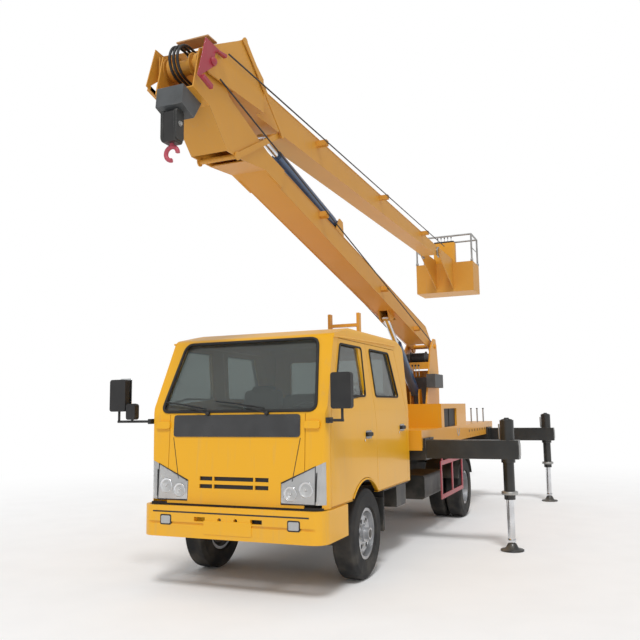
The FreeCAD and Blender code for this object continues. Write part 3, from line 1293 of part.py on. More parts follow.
def turret_equipment():
    """Control cabinet on the left plate, the hydraulic pack and the winch drum between the plates."""
    slew = S.slew_station
    start = slew - S.cabinet_lead
    cabinet = block("cabinet", (S.turret_half, S.cabinet_out), (start, start + S.cabinet_long),
                    (S.cabinet_low, S.cabinet_high))
    pack = block("hydraulic_pack", (-S.pack_half, S.pack_half), (slew + S.pack_lead, slew + S.pack_trail),
                 (base_top(), S.pack_high))
    inner = S.turret_half - S.turret_plate
    middle = (slew + S.winch_behind, S.winch_high)
    core = across("winch_core", middle, inner, S.drum_core)
    flanges = []
    for sign in (-1, 1):
        x = S.winch_half if sign > 0 else -S.winch_half - S.drum_edge
        flanges.append(round_bar(f"winch_flange{sign}", "X", (x, *middle), S.drum_flange, S.drum_edge))
    node(gathered("turret_equipment", cabinet, pack, joined("winch", core, *flanges)), "turret_equipment")


# Lower boom with its head
def hollow(label, outline_outer, outline_inner, half, wall):
    """A box beam: an outline less a smaller one between the side walls."""
    outer = prism(label + "_outer", "YZ", outline_outer, -half, half * 2)
    inner = prism(label + "_inner", "YZ", outline_inner, -half + wall, (half - wall) * 2)
    return cut(label, outer, inner)


def lower_boom():
    """Tapered box beam with root ears, cylinder lugs and the elbow head's side plates."""
    wall, half = S.lower_wall, S.lower_half
    root, end = S.root_along, S.tip_along
    outer = [lower(root, -S.root_down), lower(root, S.root_up), lower(end, S.tip_up), lower(end, S.tip_down)]
    inner = [lower(root + wall, -S.root_down + wall), lower(root + wall, S.root_up - wall),
             lower(end - wall, S.tip_up - wall), lower(end - wall, S.tip_down + wall)]
    beam_piece = hollow("lower_beam", outer, inner, half, wall)
    ears = []
    for sign in (-1, 1):
        x = S.ear_half if sign > 0 else -half
        shape = [lower(root, -S.root_down), lower(-S.pivot_round * HALF, -S.pivot_round * HALF),
                 lower(-S.pivot_round * HALF, S.pivot_round * HALF), lower(root, S.root_up)]
        ear = prism(f"ear{sign}", "YZ", shape, x, half - S.ear_half)
        boss = round_bar(f"ear_boss{sign}", "X", (x, *LUFF_PIVOT), S.pivot_round * HALF + S.pivot_pin,
                         half - S.ear_half)
        ears += [ear, boss]
    bore = across("luff_bore", LUFF_PIVOT, half + S.overrun, S.pivot_pin + S.journal_fit)
    lugs = []
    for name, foot, away in (("luff", LUFF_EYE, -1), ("fold", FOLD_FOOT, 1)):
        for sign in (-1, 1):
            gap = S.luff_gap
            x = gap if sign > 0 else -gap - S.lug_wall
            along = S.luff_eye_along if name == "luff" else S.fold_foot_along
            up = S.luff_eye_up if name == "luff" else S.fold_foot_up
            edge = up + S.eye_round * away
            line = beam_edge(along, away)
            shape = [lower(along - S.fold_lug_long, line), lower(along - S.eye_round, edge),
                     lower(along + S.eye_round, edge), lower(along + S.fold_lug_long, line)]
            lugs.append(prism(f"{name}_lug{sign}", "YZ", shape, x, S.lug_wall))
    fold_pin = across("fold_foot_pin", FOLD_FOOT, S.luff_gap + S.lug_wall, S.luff_pin)
    plates = []
    plate = [
        lower(S.head_heel_along, S.head_heel_up), lower(S.head_foot_along, S.head_foot_up),
        lower(S.throat_along, S.sole_up), lower(S.head_lead_along, S.sole_up),
        lower(S.head_lead_along, S.cover_lead * HALF), lower(S.lower_long + S.cover_lead * HALF, S.cover_lead),
        lower(S.lower_long - S.cover_lead, S.cover_lead), lower(S.shoulder_along, S.shoulder_up),
        lower(end, S.tip_up), lower(end, S.tip_down),
    ]
    for sign in (-1, 1):
        x = S.head_half - S.head_wall if sign > 0 else -S.head_half
        plates.append(prism(f"head_plate{sign}", "YZ", plate, x, S.head_wall))
    inner_half = S.head_half - S.head_wall
    face = [lower(S.head_foot_along, S.head_foot_up), lower(S.throat_along, S.sole_up),
            lower(S.throat_along - S.head_wall, S.sole_up + S.head_wall), lower(S.head_foot_along
            - S.head_wall, S.head_foot_up + S.head_wall)]
    sole = [lower(S.throat_along - S.head_wall, S.sole_up), lower(S.head_lead_along, S.sole_up),
            lower(S.head_lead_along, S.sole_up + S.sole_wall), lower(S.throat_along - S.head_wall,
            S.sole_up + S.sole_wall)]
    roof = [lower(end, S.tip_up - S.head_wall), lower(end, S.tip_up), lower(S.shoulder_along, S.shoulder_up),
            lower(S.shoulder_along, S.shoulder_up - S.head_wall)]
    webs = [prism(f"head_{name}", "YZ", outline, -inner_half, inner_half * 2)
            for name, outline in (("face", face), ("sole", sole), ("roof", roof))]
    for index, along in enumerate((S.first_guide, S.second_guide, S.third_guide)):
        for sign in (-1, 1):
            webs.append(line_guide(f"lower_guide{index}{sign}", lower, along, line_up(along), half, sign))
    neck = [lower(end - S.root_along, beam_edge(end - S.root_along, -1)), lower(end, S.tip_down),
            lower(end, S.tip_up), lower(end - S.root_along, beam_edge(end - S.root_along, 1))]
    for sign in (-1, 1):
        x = half - S.seam if sign > 0 else -S.head_half
        webs.append(prism(f"neck{sign}", "YZ", neck, x, S.head_half - half + S.seam))
    webs.append(prism("head_joint", "YZ", [lower(end, S.tip_down), lower(end + S.root_along, S.head_heel_up),
                lower(end + S.root_along, S.head_heel_up + S.head_wall), lower(end, S.tip_down
                + S.head_wall)], -inner_half, inner_half * 2))
    pin = across("link_foot_pin", LINK_FOOT, S.head_half + S.gap + S.link_wall, S.link_pin)
    shaft_hole = across("elbow_hole", ELBOW, S.head_half + S.overrun, S.elbow_pin + S.fit)
    slot = [lower(S.luff_eye_along - S.slot_back, S.luff_eye_up), lower(S.luff_eye_along + S.slot_lead,
            S.luff_eye_up), lower(S.luff_eye_along + S.slot_lead, ZERO), lower(S.luff_eye_along
            - S.slot_back, ZERO)]
    beam_piece = cut("lower_beam_open", beam_piece, prism("luff_slot", "YZ", slot, -S.luff_gap, S.luff_gap * 2))
    whole = joined("lower_whole", beam_piece, *ears, *lugs, fold_pin, *plates, *webs, pin)
    node(cut("lower_boom", whole, bore, shaft_hole), "lower_boom")


def line_up(along):
    """Height of the levelling line over the lower boom's own line at a place along it."""
    start, end = -S.root_down * HALF, -S.cover_down * HALF
    share = (along - S.root_along) / (S.lower_long - S.cover_trail - S.root_along)
    return start + (end - start) * share


def line_guide(label, frame, along, up, half, sign):
    """A bracket that reaches from a boom's side to the levelling line beside it."""
    reach = S.line_half - S.line_radius - S.fit
    side = S.guide_half
    outline = [frame(along - side, up - side), frame(along + side, up - side), frame(along + side, up + side),
               frame(along - side, up + side)]
    x = half - S.seam if sign > 0 else -reach
    return prism(label, "YZ", outline, x, reach - half + S.seam)


def beam_edge(along, away):
    """Height of the lower beam's top or bottom edge over its own line at a place along it."""
    share = (along - S.root_along) / (S.tip_along - S.root_along)
    if away > 0:
        return S.root_up + (S.tip_up - S.root_up) * share
    return -S.root_down + (S.tip_down + S.root_down) * share


def elbow_parts():
    """Elbow shaft with idlers and hose drum, covers, the sheave box and the lower lines."""
    half = S.cover_half - S.cover_wall
    shaft = across("elbow_bar", ELBOW, half - S.fit, S.elbow_pin)
    pieces = [shaft, across("hose_drum", ELBOW, S.idler_place - S.idler_half, S.hose_drum)]
    for sign in (-1, 1):
        x = S.idler_place if sign > 0 else -S.idler_place - S.idler_half * 2
        pieces.append(round_bar(f"idler{sign}", "X", (x, *ELBOW), S.idler_radius, S.idler_half * 2))
    node(joined("elbow_shaft", *pieces), "elbow_shaft")
    shape = [
        lower(S.lower_long - S.cover_trail, -S.cover_down), lower(S.lower_long + S.cover_lead, -S.cover_down),
        lower(S.lower_long + S.cover_lead, S.cover_up), lower(S.lower_long + S.cover_lead * HALF, S.cover_up),
        lower(S.lower_long - S.cover_trail, S.cover_up * HALF),
    ]
    covers = [prism("cover_left", "YZ", shape, half, S.cover_wall),
              prism("cover_right", "YZ", shape, -S.cover_half, S.cover_wall)]
    node(gathered("elbow_covers", *covers), "elbow_covers")
    top = S.sole_up - S.fit
    box = [lower(S.sheave_back, top), lower(S.sheave_heel, S.sheave_low), lower(S.sheave_toe, S.sheave_toe_up),
           lower(S.sheave_lead, top)]
    node(prism("sheave_box", "YZ", box, -S.sheave_half, S.sheave_half * 2), "sheave_box")


def lower_lines():
    """Levelling lines along both sides of the lower boom and the hoist rope under it."""
    pieces = []
    start = lower(S.root_along, -S.root_down * HALF)
    end = lower(S.lower_long - S.cover_trail, -S.cover_down * HALF)
    for sign in (-1, 1):
        pieces.append(leaning_bar(f"level_line{sign}", S.line_half * sign, start, end, S.line_radius))
    node(gathered("lower_lines", *pieces), "lower_lines")


def lower_link():
    """Two flat arms from the head's foot to the cylinder's joint."""
    inner = S.head_half + S.gap
    outer = S.fork_half
    arms = []
    for sign in (-1, 1):
        x = inner if sign > 0 else -inner - S.link_wall
        arm = link_arm(f"lower_link_arm{sign}", x, LINK_FOOT, LINK_JOINT, S.link_wall)
        start = S.luff_gap if sign > 0 else -outer
        pin = round_bar(f"lower_link_pin{sign}", "X", (start, *LINK_JOINT), S.link_pin, outer - S.luff_gap)
        arms.append(joined(f"lower_link_side{sign}", arm, pin))
    whole = gathered("lower_link_whole", *arms)
    bore = across("lower_link_bore", LINK_FOOT, inner + S.link_wall + S.overrun, S.link_pin + S.journal_fit)
    node(cut("lower_link", whole, bore), "lower_link")


def upper_link():
    """Two arms from the upper boom's lever down to the cylinder's joint, on one top pin."""
    inner = S.fork_half + S.gap
    arms = []
    for sign in (-1, 1):
        x = inner if sign > 0 else -inner - S.link_wall
        arms.append(link_arm(f"upper_link_arm{sign}", x, LINK_TOP, LINK_JOINT, S.link_wall))
    pin = across("upper_link_pin", LINK_TOP, inner + S.link_wall, S.link_pin)
    node(joined("upper_link", *arms, pin), "upper_link")


def link_arm(label, x, a, b, wall):
    """A flat bar with round ends between two pins."""
    lean = tilt(a, b)
    bar = add("Part::Box", label + "_bar")
    bar.Placement = FreeCAD.Placement(
        FreeCAD.Vector(), FreeCAD.Rotation(FreeCAD.Vector(UNIT, 0, 0), lean.value))
    bind(bar, ".Placement.Rotation.Angle", lean)
    bind(bar, "Length", wall)
    bind(bar, "Width", S.link_wide)
    bind(bar, "Height", span(a, b))
    aside = S.link_wide * HALF / span(a, b)
    place(bar, x, a[0] - (b[1] - a[1]) * aside, a[1] + (b[0] - a[0]) * aside)
    ends = [round_bar(f"{label}_end{index}", "X", (x, *end), S.link_boss, wall)
            for index, end in enumerate((a, b))]
    return joined(label, bar, *ends)


def cylinder_pair(name, foot, eye, barrel_radius, rod_radius, barrel_long, foot_half, eye_half):
    """A hydraulic cylinder: barrel with its foot eye, and rod with its end eye."""
    whole = span(foot, eye)
    mouth = between(foot, eye, barrel_long / whole)
    shoulder = between(foot, eye, S.neck_long / whole)
    tube = leaning_bar(name + "_tube", ZERO, shoulder, mouth, barrel_radius)
    neck = leaning_bar(name + "_neck", ZERO, foot, between(foot, eye, S.neck_long / whole * HALF * 3),
                       S.neck_radius)
    foot_eye = across(name + "_foot_eye", foot, foot_half, S.eye_round)
    near = between(foot, eye, S.rod_root_share)
    room = leaning_bar(name + "_room", ZERO, near, between(foot, eye, UNIT), rod_radius + S.journal_fit)
    pin_hole = across(name + "_pin_hole", foot, foot_half + S.overrun, S.luff_pin + S.journal_fit)
    node(cut(name + "_barrel", joined(name + "_body", tube, neck, foot_eye), room, pin_hole), name + "_barrel")
    rod = leaning_bar(name + "_bar", ZERO, between(foot, eye, S.rod_start_share), eye, rod_radius)
    eye_piece = across(name + "_eye", eye, eye_half, S.rod_eye)
    pin = across(name + "_eye_pin", eye, S.luff_gap - S.gap, S.luff_pin)
    node(joined(name + "_rod", rod, eye_piece, pin), name + "_rod")


def hook():
    """Hoist block on two falls of rope, with a round-bent hook under it."""
    station, top = lower(S.hook_along, (S.sheave_low + S.sheave_toe_up) * HALF)
    top = top - S.rope_long
    falls = [round_bar(f"fall{sign}", "Z", (S.rope_half * sign, station, top - S.gap), S.rope_radius,
                       S.rope_long) for sign in (-1, 1)]
    cheek = prism("hook_cheek", "XZ", [(-S.block_half, top - S.block_high), (S.block_half, top - S.block_high),
                  (S.block_half, top), (-S.block_half, top)], station - S.block_thick, S.block_thick * 2,
                  [((0, 1), S.hook_bar)])
    shank = round_bar("hook_shank", "Z", (ZERO, station, top - S.block_high - S.hook_radius * HALF),
                      S.hook_bar, S.hook_radius)
    bend = add("Part::Torus", "hook_bend")
    bend.Placement = FreeCAD.Placement(FreeCAD.Vector(), FreeCAD.Rotation(FreeCAD.Vector(UNIT, 0, 0),
                                                                         QUARTER_TURN))
    bind(bend, "Radius1", S.hook_radius)
    bind(bend, "Radius2", S.hook_bar)
    bind(bend, "Angle3", S.hook_sweep)
    place(bend, ZERO, station, top - S.block_high - S.hook_radius * 3 * HALF)
    node(joined("hook_block", cheek, shank, bend, *falls), "hook_block")


# Upper boom and basket
def upper_boom():
    """Slimmer box beam whose root plates carry the elbow and the lever pin, with a tip boss."""
    wall, half = S.upper_wall, S.upper_half
    root, end = S.upper_root_along, S.upper_long - S.tip_back
    outer = [upper(root, S.upper_root_down), upper(end, -S.upper_tip_down), upper(end, S.upper_tip_up),
             upper(root, S.upper_root_up)]
    inner = [upper(root + wall, S.upper_root_down + wall), upper(end - wall, -S.upper_tip_down + wall),
             upper(end - wall, S.upper_tip_up - wall), upper(root + wall, S.upper_root_up - wall)]
    beam_piece = hollow("upper_beam", outer, inner, half, wall)
    plate = [
        upper(-S.fork_lead, -S.fork_lead * HALF), upper(ZERO, -S.fork_lead), upper(S.fork_long,
        S.upper_root_down), upper(S.fork_long, S.upper_root_up), upper(S.link_top_along + S.link_boss,
        S.link_top_up), upper(S.link_top_along, S.link_top_up + S.link_boss), upper(S.link_top_along
        - S.link_boss, S.link_top_up), upper(-S.fork_lead, S.fork_lead),
    ]
    plates = []
    for sign in (-1, 1):
        x = S.fork_half - S.fork_wall if sign > 0 else -S.fork_half
        plates.append(prism(f"fork_plate{sign}", "YZ", plate, x, S.fork_wall))
    inner_half = S.fork_half - S.fork_wall
    filler = [upper(root, S.upper_root_down), upper(S.fork_long, S.upper_root_down),
              upper(S.fork_long, S.upper_root_up), upper(root, S.upper_root_up)]
    hole = [upper(root - wall, S.upper_root_down + wall * 2), upper(S.fork_long + wall, S.upper_root_down
            + wall * 2), upper(S.fork_long + wall, S.upper_root_up - wall * 2), upper(root - wall,
            S.upper_root_up - wall * 2)]
    box = cut("fork_box", prism("fork_filler", "YZ", filler, -inner_half, inner_half * 2),
              prism("fork_room", "YZ", hole, -half + wall, (half - wall) * 2))
    tip_plates = []
    for sign in (-1, 1):
        x = half - wall * 2 if sign > 0 else -half
        shape = [upper(end, -S.upper_tip_down), upper(S.upper_long + S.tip_boss * HALF, -S.tip_boss),
                 upper(S.upper_long + S.tip_boss * HALF, S.tip_boss), upper(end, S.upper_tip_up)]
        tip_plates.append(prism(f"tip_plate{sign}", "YZ", shape, x, wall * 2))
    pin = across("tip_bar", TIP, half + S.hanger_wall + S.levelling_half * 2, S.tip_pin)
    guides = [line_guide(f"upper_guide{index}{sign}", upper, S.upper_long * share, upper_line_up(share), half,
                         sign) for index, share in enumerate((0.3, 0.58, 0.86)) for sign in (-1, 1)]
    whole = joined("upper_whole", beam_piece, *plates, box, *tip_plates, pin, *guides)
    elbow_bore = across("elbow_bore", ELBOW, S.fork_half + S.overrun, S.elbow_pin + S.journal_fit)
    lever_bore = across("lever_bore", LINK_TOP, S.fork_half + S.overrun, S.link_pin + S.journal_fit)
    node(cut("upper_boom", whole, elbow_bore, lever_bore), "upper_boom")


def upper_line_up(share):
    """Height of the levelling line over the upper boom's own line at a share of its length."""
    start = S.cover_trail * 2 / S.upper_long
    return S.cover_up + (S.levelling_radius - S.cover_up) * (share - start) / (UNIT - start)


def upper_lines():
    """Levelling lines along both sides of the upper boom."""
    start = upper(S.cover_trail * 2, S.cover_up)
    end = upper(S.upper_long, S.levelling_radius)
    pieces = [leaning_bar(f"upper_line{sign}", S.line_half * sign, start, end, S.line_radius)
              for sign in (-1, 1)]
    node(gathered("upper_lines", *pieces), "upper_lines")


def basket():
    """Levelling drum at the boom's tip, then the basket's hanger, tub, floor and rails."""
    half = S.upper_half
    gap = S.gap
    drums = []
    for sign in (-1, 1):
        x = half + gap if sign > 0 else -half - gap - S.levelling_half
        drums.append(round_bar(f"levelling_drum{sign}", "X", (x, *TIP), S.levelling_radius, S.levelling_half))
    bore = across("levelling_bore", TIP, half + S.levelling_half * 2, S.tip_pin + S.journal_fit)
    node(cut("levelling_drum", gathered("levelling_pair", *drums), bore), "levelling_drum")
    front, rear = S.basket_front, S.basket_front + S.basket_deep
    floor, side = S.basket_floor, S.basket_half
    wall = S.basket_wall
    shell = block("tub_outer", (-side, side), (front, rear), (floor, floor + S.basket_side))
    room = block("tub_room", (-side + wall, side - wall), (front + wall, rear - wall),
                 (floor + S.basket_joist * HALF, floor + S.basket_side + S.overrun))
    hangers = []
    for sign in (-1, 1):
        inner = half + gap * 2 + S.levelling_half
        x = inner if sign > 0 else -inner - S.hanger_wall
        shape = [(TIP[0] - S.tip_boss, TIP[1] - S.tip_boss), (front, floor + S.basket_joist),
                 (front, TIP[1] + S.tip_boss), (TIP[0] - S.tip_boss, TIP[1] + S.tip_boss)]
        hangers.append(prism(f"hanger{sign}", "YZ", shape, x, S.hanger_wall))
    bar = across("hanger_bore", TIP, half * 3, S.tip_pin + S.journal_fit)
    tub = joined("tub_whole", cut("tub_shell", shell, room), *hangers)
    node(cut("basket_tub", tub, bar), "basket_tub")
    tube = S.basket_tube
    rails = []
    top = floor + S.basket_rail
    low = floor + S.basket_side
    for ix, x in enumerate((-side + tube, side - tube)):
        for iy, y in enumerate((front + tube, rear - tube)):
            rails.append(round_bar(f"rail_post{ix}{iy}", "Z", (x, y, low), tube, top - low))
        rails.append(round_bar(f"rail_side{ix}", "Y", (x, front + tube, top), tube, rear - front - tube * 2))
        rails.append(round_bar(f"rail_mid{ix}", "Y", (x, front + tube, (top + low) * HALF), tube * HALF,
                               rear - front - tube * 2))
    for iy, y in enumerate((front + tube, rear - tube)):
        rails.append(round_bar(f"rail_top{iy}", "X", (-side + tube, y, top), tube, (side - tube) * 2))
    node(joined("basket_rails", *rails), "basket_rails")


def booms():
    lower_boom()
    elbow_parts()
    lower_lines()
    lower_link()
    upper_link()
    cylinder_pair("luff", LUFF_FOOT, LUFF_EYE, S.luff_barrel, S.luff_rod, S.luff_barrel_long, S.luff_gap
                  - S.fit, S.eye_half)
    cylinder_pair("fold", FOLD_FOOT, LINK_JOINT, S.fold_barrel, S.fold_rod, S.fold_barrel_long, S.luff_gap
                  - S.fit, S.eye_half)
    hook()
    upper_boom()
    upper_lines()


def check_and_write():
    """Stop on any failed object, then write one file for each sub-part."""
    DOC.recompute()
    failed = [thing.Label for thing in DOC.Objects if {"Invalid", "Error"} & set(thing.State)]
    if failed:
        raise RuntimeError("failed objects: " + ", ".join(failed))
    os.makedirs("parts", exist_ok=True)
    for thing in NODES:
        shape = thing.Shape
        if shape.isNull() or not shape.isValid() or not shape.Solids:
            raise RuntimeError("bad shape: " + thing.Label)
        shape.exportStep(f"parts/{thing.Label}.step")
        box = shape.BoundBox
        print(f"{thing.Label:22} solids {len(shape.Solids):2} volume {shape.Volume:14.0f} "
              f"x {box.XMin:8.1f} {box.XMax:8.1f} y {box.YMin:8.1f} {box.YMax:8.1f} "
              f"z {box.ZMin:8.1f} {box.ZMax:8.1f}")


running_gear()
node(chassis_frame(), "chassis_frame")
fittings()
cab()
deck()
toolbox()
boom_rest()
side_guards()
outriggers()
turret()
turret_equipment()
booms()
basket()
check_and_write()
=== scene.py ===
"""Cherry picker truck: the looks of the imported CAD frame, in metres. X is left, Y to the rear and Z up."""
import math
from fnmatch import fnmatch

import bmesh
import bpy
from mathutils import Matrix, Vector


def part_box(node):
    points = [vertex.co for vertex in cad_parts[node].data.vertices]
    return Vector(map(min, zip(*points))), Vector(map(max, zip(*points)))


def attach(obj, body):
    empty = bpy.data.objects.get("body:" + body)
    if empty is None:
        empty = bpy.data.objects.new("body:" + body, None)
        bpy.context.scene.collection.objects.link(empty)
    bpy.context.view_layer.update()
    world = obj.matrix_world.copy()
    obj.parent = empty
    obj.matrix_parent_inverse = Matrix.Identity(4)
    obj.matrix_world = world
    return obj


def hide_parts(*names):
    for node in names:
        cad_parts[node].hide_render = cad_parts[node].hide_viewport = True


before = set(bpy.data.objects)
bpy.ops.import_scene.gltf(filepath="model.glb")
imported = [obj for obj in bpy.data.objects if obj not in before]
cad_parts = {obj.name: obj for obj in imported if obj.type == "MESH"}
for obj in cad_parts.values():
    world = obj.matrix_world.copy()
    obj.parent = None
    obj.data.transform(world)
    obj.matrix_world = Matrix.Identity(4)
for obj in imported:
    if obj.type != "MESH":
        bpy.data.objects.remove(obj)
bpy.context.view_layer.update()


def middle_of(node):
    """The middle of a CAD node's box at rest, to 0.1 mm, because facets shift a round piece's box."""
    low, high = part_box(node)
    return Vector([round(value, 4) for value in (low + high) / 2])


# Driving sizes
SIDES = (("left", 1), ("right", -1))
CORNERS = [(f"{end}_{label}", sign) for end in ("front", "rear") for label, sign in SIDES]
FRONT_HUB, REAR_HUB = middle_of("front_tyre_left"), middle_of("rear_tyres_left")
LEGS = {corner: middle_of(f"leg_{corner}") for corner, _ in CORNERS}
TWIN_HALF = 0.115  # from the middle of a rear pair to the middle of each tyre
LUFF_PIVOT = (2.335, 2.46)  # Y and Z of the luff joint
ELBOW = (-4.5345, 4.165)  # Y and Z of the fold joint, to 0.2 mm
LOWER_RISE, UPPER_RISE = math.radians(13.94), math.radians(0.26)

# Ways of building a shader
FACTOR, SOCKETS = "NodeSocketFloat", {"Colour": "NodeSocketColor"}
MIX_SOCKETS = (0, 6, 7)  # the share and the two colours of Blender's mix node
MIX_RESULT = 2


def add_node(tree, kind, **settings):
    """A new shader node with its own settings."""
    node = tree.nodes.new("ShaderNode" + kind)
    for label, value in settings.items():
        setattr(node, label, value)
    return node


def feed(tree, value, slot):
    """Links a socket to the slot, or sets the slot to a number or a colour."""
    if isinstance(value, bpy.types.NodeSocket):
        tree.links.new(value, slot)
    elif isinstance(value, tuple):
        slot.default_value = (*value, 1)
    else:
        slot.default_value = value


def feed_all(tree, node, **values):
    """Feeds a node's sockets by their names, with an underscore for each space."""
    for label, value in values.items():
        feed(tree, value, node.inputs[label.replace("_", " ")])


def effect(name, inputs, outputs):
    """An empty shader group: its tree and its two end nodes."""
    tree = bpy.data.node_groups.new(name, "ShaderNodeTree")
    for label, value in inputs.items():
        socket = tree.interface.new_socket(label, in_out="INPUT", socket_type=SOCKETS.get(label, FACTOR))
        socket.default_value = value
    for label in outputs:
        tree.interface.new_socket(label, in_out="OUTPUT", socket_type=SOCKETS.get(label, FACTOR))
    return tree, tree.nodes.new("NodeGroupInput"), tree.nodes.new("NodeGroupOutput")


def own_place(tree):
    """Each point's place in the piece's own coordinates, so a pattern stays on it as the booms move."""
    return add_node(tree, "TexCoord").outputs["Object"]


def own_axes(tree):
    """The same place, split into its X, Y and Z."""
    split = add_node(tree, "SeparateXYZ")
    feed_all(tree, split, Vector=own_place(tree))
    return split.outputs


def noise_at(tree, scale, detail=3.0, stretch=None):
    """Noise of a scale, drawn out along the axes by stretch."""
    place = own_place(tree)
    if stretch:
        squeeze = add_node(tree, "Mapping")
        squeeze.inputs["Scale"].default_value = stretch
        feed_all(tree, squeeze, Vector=place)
        place = squeeze.outputs["Vector"]
    cloud = add_node(tree, "TexNoise")
    feed_all(tree, cloud, Vector=place, Scale=scale, Detail=detail)
    return cloud.outputs["Fac"]


def waves(tree, scale, along="X", distortion=0.0):
    """Even ribs or threads across one axis."""
    node = add_node(tree, "TexWave", bands_direction=along)
    feed_all(tree, node, Vector=own_place(tree), Scale=scale, Distortion=distortion)
    return node.outputs["Fac"]


def maths(tree, kind, first, second, clamp=False):
    """One maths node between two sockets or numbers."""
    node = add_node(tree, "Math", operation=kind, use_clamp=clamp)
    for slot, value in zip(node.inputs, (first, second)):
        feed(tree, value, slot)
    return node.outputs[0]


def band(tree, value, low, high):
    """0 at low, 1 at high, with a smooth step between; low may be the larger number."""
    node = add_node(tree, "MapRange", interpolation_type="SMOOTHSTEP")
    feed_all(tree, node, Value=value, From_Min=low, From_Max=high)
    return node.outputs["Result"]


def blend_colours(tree, share, first, second, kind="MIX"):
    """The first colour, mixed with a share of the second."""
    node = add_node(tree, "Mix", data_type="RGBA", blend_type=kind)
    for number, value in zip(MIX_SOCKETS, (share, first, second)):
        feed(tree, value, node.inputs[number])
    return node.outputs[MIX_RESULT]


def placed(tree, group, **values):
    """One use of a shader group; each value is a number, a colour or a socket."""
    node = add_node(tree, "Group", node_tree=group)
    feed_all(tree, node, **values)
    return node.outputs


def bumped(tree, height, strength, distance):
    """The surface's direction with small bumps in it."""
    node = add_node(tree, "Bump")
    feed_all(tree, node, Height=height, Strength=strength, Distance=distance)
    return node.outputs["Normal"]


# Effects that several finishes share
WEAR_RADIUS, WEAR_SAMPLES, WEAR_PATCH = 0.008, 4, (0.45, 0.62)
WEAR_TURN = (0.985, 0.86)  # cosine of the turn at an edge, where wear starts and where it is full
DUST_PATCH, DUST_SCALE, DUST_DETAIL, DUST_ANYWHERE = (0.35, 0.75), 5.0, 6.0, 0.12
DRIFT_SHADE, DRIFT_SCALE, DRIFT_DETAIL = (0.45, 0.36, 0.28), 1.7, 5.0
STREAK_PATCH, STREAK_STRETCH, STREAK_SCALE, STREAK_DETAIL = (0.55, 0.8), (9, 9, 0.7), 3.0, 4.0
GRAIN_SCALE, GRAIN_DETAIL, FINE_DETAIL = 6.0, 5.0, 2.0


def make_edge_wear():
    """Paint rubbed off the sharp edges, in patches."""
    tree, given, result = effect("edge_wear", {"Amount": 0.5, "Patch": 9.0}, ["Mask"])
    softened = add_node(tree, "Bevel", samples=WEAR_SAMPLES)
    feed_all(tree, softened, Radius=WEAR_RADIUS)
    turn = add_node(tree, "VectorMath", operation="DOT_PRODUCT")
    for slot, source in zip(turn.inputs, (add_node(tree, "NewGeometry"), softened)):
        feed(tree, source.outputs["Normal"], slot)
    edge = band(tree, turn.outputs["Value"], *WEAR_TURN)
    patch = band(tree, noise_at(tree, given.outputs["Patch"]), *WEAR_PATCH)
    worn = maths(tree, "MULTIPLY", edge, patch)
    feed_all(tree, result, Mask=maths(tree, "MULTIPLY", worn, given.outputs["Amount"]))
    return tree


def make_road_dust():
    """Grey-brown dust in clouds, thickest near the ground and thin above Reach."""
    tree, given, result = effect("road_dust", {"Reach": 1.0, "Amount": 0.4}, ["Mask"])
    low = band(tree, own_axes(tree)["Z"], given.outputs["Reach"], 0.0)
    cloud = band(tree, noise_at(tree, DUST_SCALE, DUST_DETAIL), *DUST_PATCH)
    speck = maths(tree, "MULTIPLY", maths(tree, "ADD", low, DUST_ANYWHERE), cloud)
    feed_all(tree, result, Mask=maths(tree, "MULTIPLY", speck, given.outputs["Amount"], True))
    return tree


def make_sprayed_coat():
    """Colour that drifts a little over a sprayed panel, with faint orange peel and rain marks."""
    tree, given, result = effect(
        "sprayed_coat", {"Colour": (1, 1, 1, 1), "Drift": 0.12, "Peel": 240.0},
        ["Colour", "Height", "Streaks"])
    drift = maths(tree, "MULTIPLY", noise_at(tree, DRIFT_SCALE, DRIFT_DETAIL), given.outputs["Drift"])
    shade = blend_colours(tree, drift, given.outputs["Colour"], DRIFT_SHADE, "MULTIPLY")
    streaks = band(tree, noise_at(tree, STREAK_SCALE, STREAK_DETAIL, STREAK_STRETCH), *STREAK_PATCH)
    peel = noise_at(tree, given.outputs["Peel"], 1.0)
    feed_all(tree, result, Colour=shade, Height=peel, Streaks=streaks)
    return tree


def make_fine_grain():
    """The fine grain of moulded plastic, rubber and rolled steel."""
    tree, given, result = effect("fine_grain", {"Scale": 300.0}, ["Value", "Height"])
    fine = noise_at(tree, given.outputs["Scale"], FINE_DETAIL)
    feed_all(tree, result, Value=noise_at(tree, GRAIN_SCALE, GRAIN_DETAIL), Height=fine)
    return tree


EDGE_WEAR, ROAD_DUST = make_edge_wear(), make_road_dust()
SPRAYED_COAT, FINE_GRAIN = make_sprayed_coat(), make_fine_grain()

# Kinds of finish
DUST, BARE_METAL, PRIMER = (0.33, 0.29, 0.23), (0.35, 0.34, 0.32), (0.16, 0.13, 0.11)
STREAK_SHARE, DUSTY_ROUGHNESS, COAT_ROUGHNESS, PEEL_BUMP = 0.12, 0.5, 0.08, (0.12, 0.0004)
SPLIT_HALF = 0.001  # half the width of the line between two colours


def new_finish(name, **sockets):
    """A material, its tree and its shader, with the shader's sockets given by name."""
    finish = bpy.data.materials.new(name)
    finish.use_nodes = True
    shader = finish.node_tree.nodes["Principled BSDF"]
    feed_all(finish.node_tree, shader, **{"Coat_Roughness": COAT_ROUGHNESS, **sockets})
    return finish, finish.node_tree, shader


